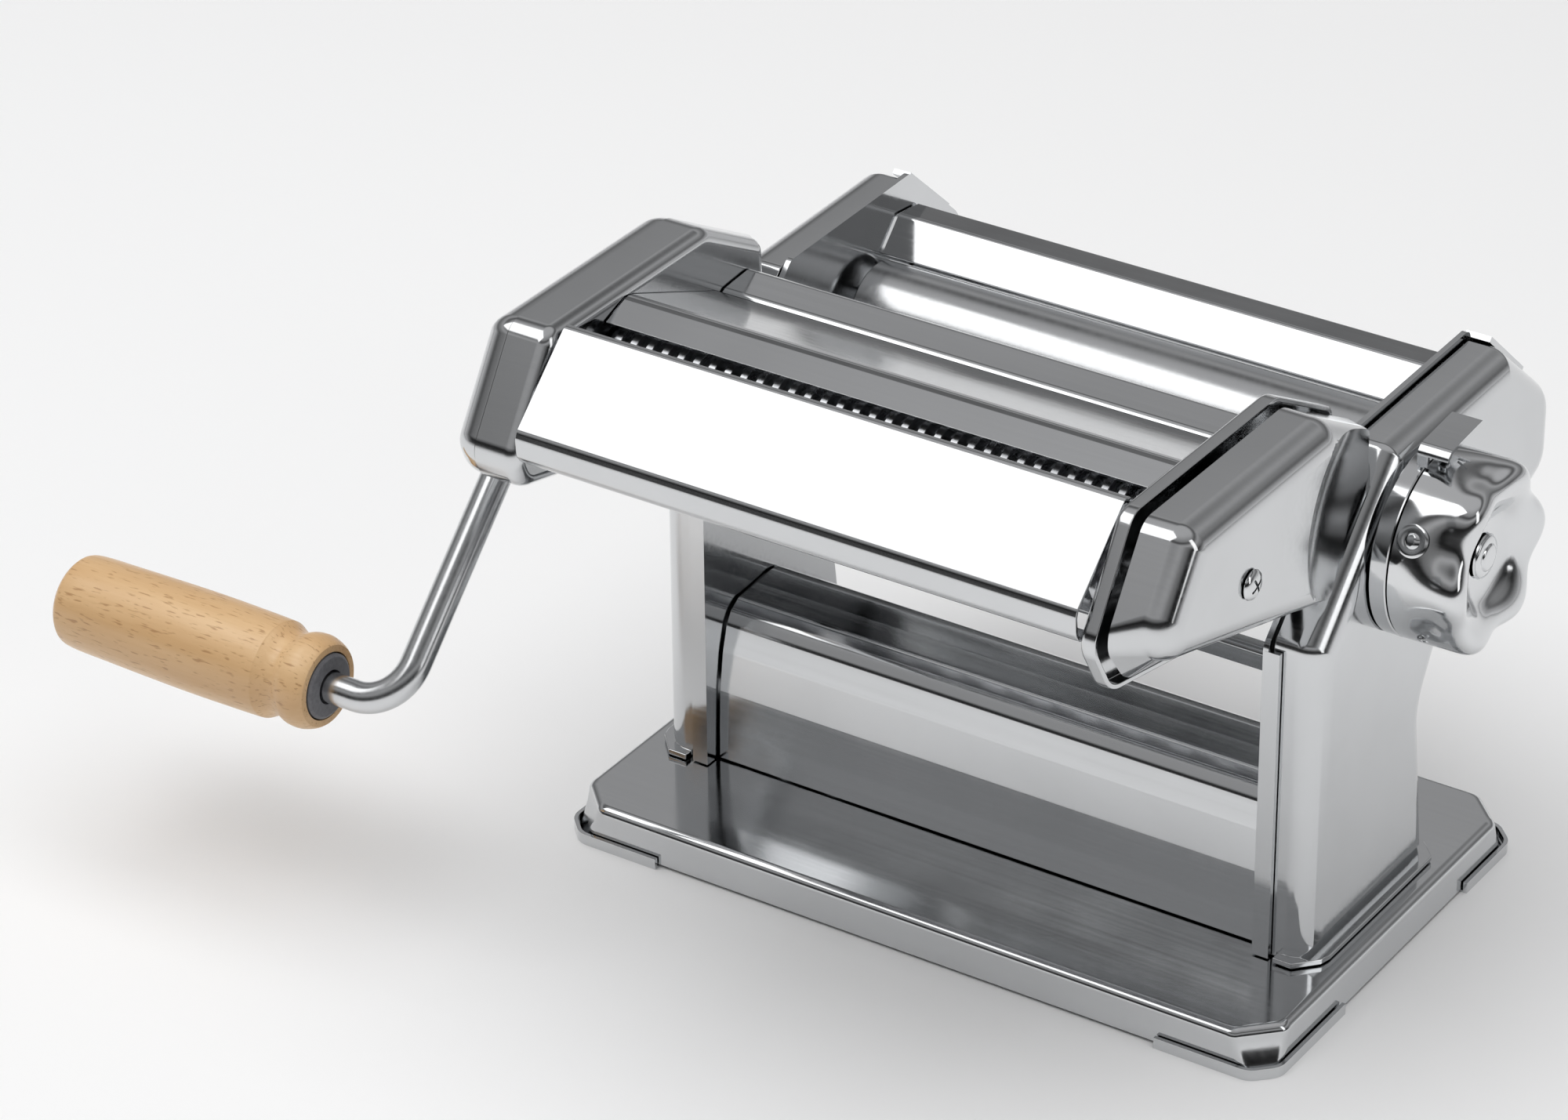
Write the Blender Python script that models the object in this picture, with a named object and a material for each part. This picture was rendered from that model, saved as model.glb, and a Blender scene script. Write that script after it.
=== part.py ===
"""Hand-cranked pasta roller machine with a lift-off duplex cutter and a wooden grip.

The machine frame is: X along the rollers (crank side at -X), Y to the back, Z up,
with Z = 0 on the top of the base plate. All sizes below are in millimetres.
"""

import math

import bmesh
import bpy
from mathutils import Matrix, Vector

MM = 0.001

# Where the machine frame sits in the finished part, which is centred on its box and stands on Z = 0
SHIFT = (47.27, 18.9, 11.4)

# Base plate and the four corner lips it stands on
BASE_X, BASE_Y, BASE_BACK = 100.0, 61.6, 62.8
BASE_CUT, BASE_CUT_LOW = 9.5, 5.0
BASE_SHEET = 1.4
BASE_FLANGE = 10.5
FLOOR_Z = -11.4

# Side stanchions: flat inner plates under domed shells
PLATE_IN, PLATE_OUT = 78.2, 79.6
PLATE_LIP = 82.6
SHELL_IN, SHELL_OUT = 80.2, 92.8
SHELL_WALL = 1.4
SHELL_FILLET = 7.0
FOOT_FLANGE_X = 95.2

# Sheeting rollers and the thickness knob
ROLLER_R, ROLLER_HALF = 13.5, 75.0
FRONT_AXIS = (14.5, 97.8)
REAR_AXIS = (42.5, 97.3)
SHAFT_R = 4.0
SLEEVE_BORE, SLEEVE_R = 5.3, 6.2
GAP_TRAVEL = 1.1
JOURNAL_R = 5.0
KNOB_R = 23.6
KNOB_LOBES = 6

# Duplex cutter: two pairs of toothed rollers in a slanting case
CUT_IN, CUT_SHEET = 75.4, 1.2
CUT_LIP, CUT_RIM_LEFT = 79.4, 87.2
CUT_SHELL_RIGHT, CUT_SHELL_OUT = 81.0, 95.2
DISH_AT, DISH_BALL, DISH_DEPTH = (-13.0, 120.5), 74.0, 6.4
FINE_AXES = ((-88.4, 134.4), (-69.8, 134.4))
WIDE_AXES = ((-39.2, 122.0), (-20.6, 122.0))
CUT_TIP, CUT_ROOT = 9.9, 8.2
CUT_HALF = 74.6
FINE_COUNT, WIDE_COUNT = 34, 11
CUT_JOURNAL = 3.0

# Crank: bent rod and turned grip, pushed into the wide cutter socket
ROD_R = 3.9
ARM_X = -112.0
BEND_R = 12.0
SOCKET_DEPTH_X = -86.2
GRIP_AXIS = (-113.1, 48.0)
GRIP_START, GRIP_END = -132.5, -211.0

PARTS = None
TOOLS = None


def clear_scene():
    for item in list(bpy.data.objects):
        bpy.data.objects.remove(item, do_unlink=True)


def new_collection(name):
    group = bpy.data.collections.new(name)
    bpy.context.scene.collection.children.link(group)
    return group


def material(name, colour, roughness, metallic):
    made = bpy.data.materials.new(name)
    made.use_nodes = True
    shader = made.node_tree.nodes["Principled BSDF"]
    shader.inputs["Base Color"].default_value = (*colour, 1.0)
    shader.inputs["Roughness"].default_value = roughness
    shader.inputs["Metallic"].default_value = metallic
    made.diffuse_color = (*colour, 1.0)
    return made


def face_outwards(bm):
    bmesh.ops.remove_doubles(bm, verts=bm.verts, dist=0.002)
    bmesh.ops.dissolve_degenerate(bm, edges=bm.edges, dist=0.002)
    bmesh.ops.recalc_face_normals(bm, faces=bm.faces)
    if bm.calc_volume(signed=True) < 0.0:
        bmesh.ops.reverse_faces(bm, faces=bm.faces)


def finish(name, bm, look, origin=(0.0, 0.0, 0.0)):
    """Turns a bmesh in machine millimetres into a named part with its origin at `origin`."""
    face_outwards(bm)
    back = Matrix.Translation(-Vector(origin))
    bmesh.ops.transform(bm, matrix=Matrix.Scale(MM, 4) @ back, verts=bm.verts)
    mesh = bpy.data.meshes.new(name)
    bm.to_mesh(mesh)
    bm.free()
    part = bpy.data.objects.new(name, mesh)
    part.location = (Vector(origin) + Vector(SHIFT)) * MM
    mesh.materials.append(look)
    PARTS.objects.link(part)
    return part


def tool(name, bm):
    """A cutter in machine millimetres, kept out of the part."""
    face_outwards(bm)
    bmesh.ops.transform(bm, matrix=Matrix.Scale(MM, 4), verts=bm.verts)
    mesh = bpy.data.meshes.new(name)
    bm.to_mesh(mesh)
    bm.free()
    made = bpy.data.objects.new(name, mesh)
    made.location = Vector(SHIFT) * MM
    made.hide_render = True
    made.display_type = "WIRE"
    TOOLS.objects.link(made)
    return made


def boolean(part, other, operation):
    step = part.modifiers.new(operation.lower() + "_" + other.name, "BOOLEAN")
    step.operation = operation
    step.solver = "EXACT"
    step.object = other


def smooth(part, degrees=35.0):
    part.data.shade_smooth()
    part.data.set_sharp_from_angle(angle=math.radians(degrees))


# ---------- outlines in the Y-Z plane ----------


def rounded(corners, steps=3):
    """Corner points (y, z, radius) joined by straight runs, each corner turned as an arc."""
    outline = []
    count = len(corners)
    for i in range(count):
        y, z, radius = corners[i]
        here = Vector((y, z))
        to_last = (Vector(corners[i - 1][:2]) - here).normalized()
        to_next = (Vector(corners[(i + 1) % count][:2]) - here).normalized()
        if radius <= 0.0:
            outline.append((y, z))
            continue
        half = to_last.angle(to_next) / 2.0
        reach = radius / math.tan(half)
        middle = here + (to_last + to_next).normalized() * (radius / math.sin(half))
        start = here + to_last * reach - middle
        end = here + to_next * reach - middle
        turn = start.angle_signed(end)
        for k in range(steps + 1):
            spoke = start.copy()
            spoke.rotate(Matrix.Rotation(-turn * k / steps, 2))
            outline.append(tuple(middle + spoke))
    return outline


def inset_corners(corners, distance):
    """The corner list moved inwards by `distance`: outer corners tighten, inner ones open up."""
    moved = []
    count = len(corners)
    for i in range(count):
        y, z, radius = corners[i]
        here = Vector((y, z))
        before = (here - Vector(corners[i - 1][:2])).normalized()
        after = (Vector(corners[(i + 1) % count][:2]) - here).normalized()
        inward = Vector((before.y + after.y, -before.x - after.x)).normalized()
        cosine = inward.dot(Vector((after.y, -after.x)))
        spot = here + inward * (distance / cosine)
        hollow = before.cross(after) > 0.0
        if radius > 0.0:
            radius = radius + distance if hollow else max(radius - distance, 0.8)
        moved.append((spot.x, spot.y, radius))
    return moved


def sheet_outline(path, thickness):
    """A bent strip seen edge-on: the open path and its copy on the left, `thickness` away."""
    other = []
    last = len(path) - 1
    for i in range(len(path)):
        here = Vector(path[i])
        before = (here - Vector(path[max(i - 1, 0)]))
        after = (Vector(path[min(i + 1, last)]) - here)
        before = after if before.length == 0.0 else before
        after = before if after.length == 0.0 else after
        before = before.normalized()
        after = after.normalized()
        left = Vector((-before.y - after.y, before.x + after.x)).normalized()
        cosine = left.dot(Vector((-after.y, after.x)))
        other.append(tuple(here + left * (thickness / max(cosine, 0.4))))
    return list(path) + other[::-1]


def gear_outline(centre, teeth, root, tip, phase):
    """Straight-flanked teeth; `phase` in tooth pitches turns the gear on its axis."""
    points = []
    pitch = math.tau / teeth
    for k in range(teeth):
        for share, radius in ((-0.27, root), (-0.11, tip), (0.11, tip), (0.27, root)):
            angle = pitch * (k + phase + share)
            points.append((centre[0] + radius * math.cos(angle), centre[1] + radius * math.sin(angle)))
    return points


# ---------- solids ----------


def prism(outline, x0, x1):
    """The outline as a slab between two X positions."""
    bm = bmesh.new()
    corners = [bm.verts.new((x0, y, z)) for y, z in outline]
    face = bm.faces.new(corners)
    grown = bmesh.ops.extrude_face_region(bm, geom=[face])
    moved = [item for item in grown["geom"] if isinstance(item, bmesh.types.BMVert)]
    bmesh.ops.translate(bm, verts=moved, vec=(x1 - x0, 0.0, 0.0))
    return bm


def lofted(rings):
    """Rings of equal length skinned one to the next and closed at both ends."""
    bm = bmesh.new()
    loops = [[bm.verts.new(point) for point in ring] for ring in rings]
    for first, second in zip(loops[:-1], loops[1:]):
        for k in range(len(first)):
            n = (k + 1) % len(first)
            bm.faces.new((first[k], first[n], second[n], second[k]))
    bm.faces.new(loops[0])
    bm.faces.new(loops[-1])
    return bm


def domed_prism(corners, x0, x1, fillet, segments, base=None):
    """A slab whose rim at x1 is rolled over with a fillet; `base` is the outline at x0 if it differs."""
    rings = [[(x0, y, z) for y, z in rounded(base or corners)]]
    for k in range(segments + 1):
        angle = math.pi / 2.0 * k / segments
        x = x1 - fillet * (1.0 - math.sin(angle))
        outline = rounded(inset_corners(corners, fillet * (1.0 - math.cos(angle))))
        rings.append([(x, y, z) for y, z in outline])
    return lofted(rings)


def block(x0, x1, y0, y1, z0, z1):
    return prism([(y0, z0), (y1, z0), (y1, z1), (y0, z1)], x0, x1)


def lathe(profile, centre, sides, closed=False):
    """Profile points (x, radius) spun round the X-axis line through `centre`."""
    bm = bmesh.new()
    verts = [bm.verts.new((x, centre[0], centre[1] + radius)) for x, radius in profile]
    edges = [bm.edges.new(pair) for pair in zip(verts[:-1], verts[1:])]
    if closed:
        edges.append(bm.edges.new((verts[-1], verts[0])))
    bmesh.ops.spin(
        bm, geom=verts + edges, cent=(0.0, centre[0], centre[1]), axis=(1.0, 0.0, 0.0),
        angle=math.tau, steps=sides, use_merge=True,
    )
    bmesh.ops.remove_doubles(bm, verts=bm.verts, dist=0.002)
    return bm


def bar(x0, x1, radius, centre, sides):
    return lathe([(x0, 0.0), (x0, radius), (x1, radius), (x1, 0.0)], centre, sides)


def mirrored(bm, side):
    """The right-hand shape, or its mirror image for the left."""
    if side < 0:
        bmesh.ops.scale(bm, vec=(-1.0, 1.0, 1.0), verts=bm.verts)
    return bm


# ---------- base and feet ----------


def base_outline(inset, cut):
    """Plan of the base (x, y) with clipped corners, moved inwards by `inset`."""
    x, front, back = BASE_X - inset, -BASE_Y + inset, BASE_BACK - inset
    cut -= 0.586 * inset
    return rounded(
        [
            (-x + cut, front, 4.0), (x - cut, front, 4.0), (x, front + cut, 4.0),
            (x, back - cut, 4.0), (x - cut, back, 4.0), (-x + cut, back, 4.0),
            (-x, back - cut, 4.0), (-x, front + cut, 4.0),
        ],
        2,
    )


def tray(levels):
    """Base outlines stacked: each level is (z, inset, corner cut)."""
    rings = []
    for z, inset, cut in levels:
        rings.append([(x, y, z) for x, y in base_outline(inset, cut)])
    return lofted(rings)


def build_base(steel):
    """Pressed tray, its skirt flaring so that the corners are squarer at the bottom."""
    outer = [
        (-BASE_FLANGE, 0.0, BASE_CUT_LOW), (-2.4, 0.0, BASE_CUT), (-1.1, 0.35, BASE_CUT),
        (-0.3, 1.1, BASE_CUT), (0.0, 2.4, BASE_CUT),
    ]
    sheet = BASE_SHEET
    inner = [
        (-BASE_FLANGE - 2.0, sheet, BASE_CUT_LOW), (-BASE_FLANGE, sheet, BASE_CUT_LOW),
        (-sheet - 1.2, sheet, BASE_CUT), (-sheet - 0.3, sheet + 0.4, BASE_CUT),
        (-sheet, sheet + 1.2, BASE_CUT),
    ]
    plate = finish("base_plate", tray(outer), steel)
    boolean(plate, tool("base_hollow", tray(inner)), "DIFFERENCE")
    smooth(plate)


def build_foot(name, side_x, side_y, along_x, along_y, steel):
    """An L-section lip that follows the skirt round one corner and turns in below it."""
    corner = base_outline(0.0, BASE_CUT_LOW)[3:9]
    path = [(along_x, -BASE_Y)] + corner + [(BASE_X, along_y)]
    fold = FLOOR_Z + 0.6
    section = (
        (0.35, -8.4), (1.35, -8.4), (1.35, FLOOR_Z), (-5.5, FLOOR_Z), (-5.5, fold), (0.35, fold),
    )
    back = BASE_BACK - BASE_Y if side_y < 0 else 0.0
    rings = []
    last = len(path) - 1
    for i, point in enumerate(path):
        here = Vector(point)
        before = here - Vector(path[max(i - 1, 0)])
        after = Vector(path[min(i + 1, last)]) - here
        before = (after if i == 0 else before).normalized()
        after = (before if i == last else after).normalized()
        out = Vector((before.y + after.y, -before.x - after.x)).normalized()
        stretch = 1.0 / out.dot(Vector((after.y, -after.x)))
        ring = []
        for reach, z in section:
            spot = here + out * (reach * stretch)
            ring.append((spot.x * side_x, spot.y * side_y + back, z))
        rings.append(ring)
    finish(name, lofted(rings), steel)


# ---------- stanchions ----------


def stanchion_corners(front, rear_shift, top, foot):
    """Side view of a stanchion: narrow foot, slanting front shoulder, wide head."""
    slant_top = (top - 90.0) / 0.97 - 27.4
    return [
        (front, foot, 0.0),
        (front, 86.0 + (front + 31.0) * 0.3, 5.0),
        (slant_top, top, 3.0),
        (63.5 + rear_shift * 0.4, top + 0.8, 3.0),
        (88.0 + rear_shift, 104.2 + rear_shift * 0.4, 10.0),
        (88.0 + rear_shift, 83.0, 10.0),
        (34.0 + rear_shift * 0.3, 61.0, 14.0),
        (25.6 + rear_shift * 0.3, 46.0, 16.0),
        (32.2 + rear_shift * 0.6, foot, 0.0),
    ]


def build_side_plate(name, side, steel):
    outline = rounded(stanchion_corners(-31.0, 0.0, 125.4, 0.4))
    plate = finish(name, mirrored(prism(outline, PLATE_IN, PLATE_OUT), side), steel)
    lip = mirrored(block(PLATE_IN + 0.5, PLATE_LIP, -31.0, -29.7, 0.4, 84.6), side)
    boolean(plate, tool(name + "_lip", lip), "UNION")
    ear = [(63.6, 124.8), (82.0, 108.3), (83.0, 109.4), (64.6, 125.9)]
    reach = PLATE_LIP + (2.8 if side > 0 else 1.0)
    flap = mirrored(prism(ear, PLATE_IN + 0.4, reach), side)
    boolean(plate, tool(name + "_ear", flap), "UNION")
    sleeve = SLEEVE_R + GAP_TRAVEL + 0.3 if side < 0 else SHAFT_R + 0.4
    holes = ((FRONT_AXIS, sleeve), (REAR_AXIS, JOURNAL_R + 0.4))
    for k, (centre, radius) in enumerate(holes):
        drill = bar(side * (PLATE_IN - 2.0), side * (PLATE_OUT + 2.0), radius, centre, 20)
        boolean(plate, tool(name + "_bore" + str(k), drill), "DIFFERENCE")


def build_side_shell(name, side, steel):
    corners = stanchion_corners(-29.3, -1.0, 123.6, 0.6)
    outer = domed_prism(corners, SHELL_IN, SHELL_OUT, SHELL_FILLET, 4)
    shell = finish(name, mirrored(outer, side), steel)
    wall = inset_corners(corners, SHELL_WALL)
    hollow = domed_prism(
        wall, SHELL_IN - 3.0, SHELL_OUT - SHELL_WALL, SHELL_FILLET - SHELL_WALL, 3
    )
    boolean(shell, tool(name + "_hollow", mirrored(hollow, side)), "DIFFERENCE")
    tab = [
        (84.2, -31.9), (89.4, -31.9), (94.4, -26.4), (FOOT_FLANGE_X, -23.4),
        (FOOT_FLANGE_X, 27.8), (90.4, 33.0), (84.2, 33.0),
    ]
    bm = mirrored(lofted([[(x, y, z) for x, y in tab] for z in (0.4, 1.8)]), side)
    boolean(shell, tool(name + "_foot", bm), "UNION")
    centre, radius = (FRONT_AXIS, 7.0) if side > 0 else (REAR_AXIS, 7.6)
    drill = bar(side * 88.0, side * 98.0, radius, centre, 20)
    boolean(shell, tool(name + "_bore", drill), "DIFFERENCE")
    smooth(shell, 30.0)


def build_guides(steel):
    """Chute between the stanchion feet, hopper plate above the rollers, scrapers and tie bars."""
    chute = [(3.6, 2.0), (4.4, 39.6), (1.6, 42.8), (-2.0, 43.4), (-9.0, 42.9), (-17.0, 42.6)]
    chute += [(-20.4, 40.6), (-22.4, 37.6), (-24.3, 30.7), (-25.8, 20.0), (-26.2, 9.0), (-26.4, 0.5)]
    finish("dough_chute", prism(sheet_outline(chute, 1.0), -77.6, 77.6), steel)
    hopper = [(50.2, 109.2), (57.7, 116.7), (66.6, 115.7), (67.6, 110.4)]
    finish("hopper_plate", prism(sheet_outline(hopper, 1.0), -77.6, 77.6), steel)
    front = [(9.5, 73.0), (13.0, 81.8), (18.0, 82.7)]
    finish("front_scraper", prism(sheet_outline(front, 0.9), -77.6, 77.6), steel)
    rear = [(47.5, 72.0), (44.0, 81.2), (39.0, 82.1)]
    finish("rear_scraper", prism(sheet_outline(rear[::-1], 0.9), -77.6, 77.6), steel)
    bar_strip = [(21.4, 44.0), (21.4, 48.4), (23.6, 49.4)]
    finish("rear_tie_bar", prism(sheet_outline(bar_strip, 1.2), -77.7, 77.7), steel)
    finish("upper_tie_rod", bar(-77.7, 77.7, 3.0, (66.0, 98.0), 12), steel)


# ---------- sheeting rollers ----------


def bored(part, name, x0, x1, radius, centre, sides=20):
    boolean(part, tool(name, bar(x0, x1, radius, centre, sides)), "DIFFERENCE")


def build_rollers(steel, dark):
    y, z = REAR_AXIS
    profile = [
        (-93.6, 0.0), (-93.6, 6.6), (-87.4, 6.6), (-87.4, JOURNAL_R), (-75.0, JOURNAL_R),
        (-75.0, ROLLER_R), (75.0, ROLLER_R), (75.0, JOURNAL_R), (84.0, JOURNAL_R), (84.0, 0.0),
    ]
    rear = finish("rear_roller", lathe(profile, REAR_AXIS, 40), steel, (0.0, y, z))
    bored(rear, "rear_socket", -96.0, -80.0, ROD_R + 0.5, REAR_AXIS, 16)
    smooth(rear)
    gear = gear_outline(REAR_AXIS, 14, 11.5, 15.2, 0.0)
    part = finish("rear_roller_gear", prism(gear, -86.6, -81.0), dark, (0.0, y, z))
    bored(part, "rear_gear_bore", -90.0, -78.0, JOURNAL_R + 0.3, REAR_AXIS)

    y, z = FRONT_AXIS
    profile = [
        (-86.9, SLEEVE_BORE), (-86.9, SLEEVE_R), (-75.0, SLEEVE_R), (-75.0, ROLLER_R),
        (75.0, ROLLER_R), (75.0, SLEEVE_R), (78.0, SLEEVE_R), (78.0, SLEEVE_BORE),
    ]
    front = finish("front_roller", lathe(profile, FRONT_AXIS, 40, True), steel, (0.0, y, z))
    smooth(front)
    for side, word in ((-1, "left"), (1, "right")):
        inner = SLEEVE_R + 0.3
        ring = [(75.4, inner), (75.4, 8.8), (77.8, 8.8), (77.8, inner)]
        bm = mirrored(lathe(ring, FRONT_AXIS, 20, True), side)
        finish("roller_bearing_" + word, bm, dark, (0.0, y, z))
    gear = gear_outline(FRONT_AXIS, 14, 11.5, 15.2, 0.5)
    part = finish("front_roller_gear", prism(gear, -86.6, -81.0), dark, (0.0, y, z))
    bored(part, "front_gear_bore", -90.0, -78.0, SLEEVE_R + 0.3, FRONT_AXIS)


def build_knob(steel, bright, dark):
    y, z = FRONT_AXIS
    shaft = [
        (-88.0, 0.0), (-88.0, SHAFT_R), (105.6, SHAFT_R), (105.6, 3.0), (110.4, 3.0), (110.4, 0.0),
    ]
    part = finish("eccentric_shaft", lathe(shaft, FRONT_AXIS, 16), steel, (0.0, y, z))
    smooth(part)

    ring = [
        (93.2, 9.0), (93.2, KNOB_R), (97.6, KNOB_R), (97.6, KNOB_R - 1.3),
        (94.6, KNOB_R - 1.3), (94.6, 9.0),
    ]
    collar = finish("knob_collar", lathe(ring, FRONT_AXIS, 36, True), steel)
    smooth(collar)

    knob = finish("thickness_knob", knob_body(), bright, (0.0, y, z))
    smooth(knob, 50.0)

    rivet = [(110.9, 0.0), (110.9, 5.2), (111.8, 5.1), (112.5, 3.8), (112.8, 0.0)]
    part = finish("knob_screw", lathe(rivet, FRONT_AXIS, 20), bright, (0.0, y, z))
    smooth(part)

    pin_y, pin_z = y - 17.2, z + 6.4
    pin = lathe([(93.2, 0.0), (93.2, 1.0), (97.0, 1.0), (97.0, 0.0)], (pin_y + 2.0, pin_z), 10)
    bmesh.ops.translate(pin, verts=pin.verts, vec=(1.9, 0.0, 0.0))
    finish("detent_pin", pin, steel)

    build_pointer(steel)


def knob_body():
    """Pressed cup: round where it meets the collar, six finger hollows round a dished face."""
    rim = KNOB_R
    profile = [
        (98.2, rim), (103.0, rim), (108.0, rim), (112.2, rim - 0.1), (114.8, rim - 0.9),
        (116.2, rim - 2.8), (116.2, rim - 5.2), (114.6, rim - 8.6), (111.6, 11.0),
        (110.6, 7.6), (110.6, 3.6), (109.2, 3.6), (109.2, 8.0), (110.2, 11.2),
        (113.0, rim - 8.4), (114.6, rim - 5.4), (114.5, rim - 3.8), (113.4, rim - 2.6),
        (111.2, rim - 1.9), (98.2, rim - 1.6),
    ]
    bm = lathe(profile, FRONT_AXIS, 36, True)
    for vert in bm.verts:
        dy = vert.co.y - FRONT_AXIS[0]
        dz = vert.co.z - FRONT_AXIS[1]
        radius = math.hypot(dy, dz)
        hollow = 0.5 + 0.5 * math.cos(KNOB_LOBES * (math.atan2(dz, dy) - 0.576))
        depth = min(max((vert.co.x - 100.0) / 12.0, 0.0), 1.0)
        reach = min(max((radius - 9.0) / 9.0, 0.0), 1.0)
        shrink = 1.0 - 0.11 * hollow * depth * reach
        vert.co.y = FRONT_AXIS[0] + dy * shrink
        vert.co.z = FRONT_AXIS[1] + dz * shrink
        if vert.co.x > 110.0:
            vert.co.x -= 1.4 * hollow * reach
    return bm


def build_pointer(steel):
    """Bent strap over the knob: its short leg stands on the collar."""
    strap = sheet_outline([(24.2, 126.4), (9.4, 125.2), (8.2, 124.2), (8.2, 121.0)], -1.0)
    pointer = finish("pointer_bracket", prism(strap, 96.0, 104.0), steel)
    relief = block(98.8, 106.0, 6.0, 10.4, 119.0, 123.9)
    boolean(pointer, tool("pointer_relief", relief), "DIFFERENCE")


# ---------- duplex cutter ----------


def slant(y):
    """Height of the cutter's underside where it rests against the stanchions."""
    return 90.9 + 0.97 * (y + 28.0)


def tray_corners(back, low_front, low_back):
    """Side view of a cap tray that reaches back to `back` and rests on the slant."""
    return [
        (-111.5, 125.4, 7.0), (-94.6, 152.2, 6.0), (-31.0, 151.8, 9.0),
        (back, 151.8 - 0.5635 * (back + 31.0), 4.0), (back + 1.4, slant(back + 1.4), 2.0),
        (low_back, slant(low_back), 5.0), low_front,
    ]


def right_tray():
    return tray_corners(-4.0, (-103.0, 110.6, 9.0), -24.0)


def left_tray(back):
    return tray_corners(back, (-108.0, 116.6, 8.0), -22.0)


def right_shell():
    """Open edge and crown outlines of the right cap: its underside and back are drafted."""
    rim = [
        (-109.2, 125.6, 8.0), (-93.0, 150.2, 6.0), (-31.4, 149.8, 9.0), (2.4, 131.0, 4.0),
        (4.4, slant(4.4) + 1.1, 2.0), (-22.0, slant(-22.0) + 1.1, 5.0), (-99.4, 112.6, 9.0),
    ]
    crown = [
        (-108.8, 126.6, 9.0), (-92.8, 150.2, 6.0), (-31.4, 149.7, 9.0), (-6.0, 135.4, 5.0),
        (-3.4, 121.0, 4.0), (-25.4, 99.0, 6.0), (-99.6, 120.2, 9.0),
    ]
    return rim, crown


def build_cutter_end(side, word, steel):
    """A drawn tray facing outwards: flat inner plate, rounded edge and a rim."""
    if side > 0:
        rim, corners, reach, roll = right_tray(), right_tray(), CUT_LIP, 1.4
    else:
        rim, corners, reach, roll = left_tray(5.2), left_tray(-6.0), CUT_RIM_LEFT, 3.6
    name = "cutter_end_plate_" + word
    outer = domed_prism(corners, -reach, -CUT_IN, roll, 3, rim)
    plate = finish(name, mirrored(outer, -side), steel)
    wall = inset_corners(corners, CUT_SHEET)
    rim_wall = inset_corners(rim, CUT_SHEET)
    hollow = domed_prism(wall, -reach - 0.5, -CUT_IN - CUT_SHEET, roll - CUT_SHEET, 2, rim_wall)
    boolean(plate, tool(name + "_hollow", mirrored(hollow, -side)), "DIFFERENCE")
    for k, centre in enumerate(FINE_AXES + WIDE_AXES):
        drill = bar(side * (CUT_IN - 1.0), side * (CUT_IN + 3.0), CUT_JOURNAL + 0.4, centre, 14)
        boolean(plate, tool(name + "_bore" + str(k), drill), "DIFFERENCE")
    smooth(plate, 30.0)


def dish(extra):
    """Shallow ball cap pressed into the back of the right cap, clear of the knob."""
    ball = DISH_BALL + extra
    bottom = CUT_SHELL_OUT - DISH_DEPTH - extra
    profile = [(bottom, 0.0)]
    for k in range(1, 7):
        angle = 0.105 * k
        profile.append((bottom + ball * (1.0 - math.cos(angle)), ball * math.sin(angle)))
    profile.append((profile[-1][0] + 8.0, profile[-1][1]))
    profile.append((profile[-1][0], 0.0))
    return lathe(profile, DISH_AT, 36)


def build_cutter_shell(side, word, steel):
    name = "cutter_shell_" + word
    if side > 0:
        (rim, crown), start, fillet = right_shell(), CUT_SHELL_RIGHT, 7.0
    else:
        rim = crown = inset_corners(left_tray(5.2), 0.3)
        start, fillet = CUT_RIM_LEFT + 0.3, 7.2
    outer = mirrored(domed_prism(crown, start, CUT_SHELL_OUT, fillet, 4, rim), side)
    shell = finish(name, outer, steel)
    wall = inset_corners(crown, SHELL_WALL)
    rim_wall = inset_corners(rim, SHELL_WALL)
    top = CUT_SHELL_OUT - SHELL_WALL
    hollow = domed_prism(wall, start - 0.5, top, fillet - SHELL_WALL, 3, rim_wall)
    cavity = tool(name + "_hollow", mirrored(hollow, side))
    if side > 0:
        boolean(shell, tool(name + "_press", dish(0.0)), "DIFFERENCE")
        boolean(cavity, tool(name + "_press_back", dish(SHELL_WALL)), "DIFFERENCE")
    boolean(shell, cavity, "DIFFERENCE")
    if side < 0:
        for k, centre in enumerate((FINE_AXES[1], WIDE_AXES[0])):
            drill = bar(-98.0, -90.0, 7.6, centre, 20)
            boolean(shell, tool(name + "_socket" + str(k), drill), "DIFFERENCE")
    screw_axis = (-69.6, 126.8) if side > 0 else (-55.6, 121.0)
    drill = bar(side * 90.0, side * 98.0, 1.9, screw_axis, 12)
    boolean(shell, tool(name + "_screw_hole", drill), "DIFFERENCE")
    smooth(shell, 30.0)

    inner = 77.2 if side > 0 else 85.0
    screw = [
        (inner, 0.0), (inner, 1.5), (95.5, 1.5), (95.5, 3.7), (96.2, 3.5), (96.9, 2.4), (97.1, 0.0),
    ]
    bm = mirrored(lathe(screw, screw_axis, 16), side)
    part = finish("cutter_screw_" + word, bm, steel)
    smooth(part)


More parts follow.
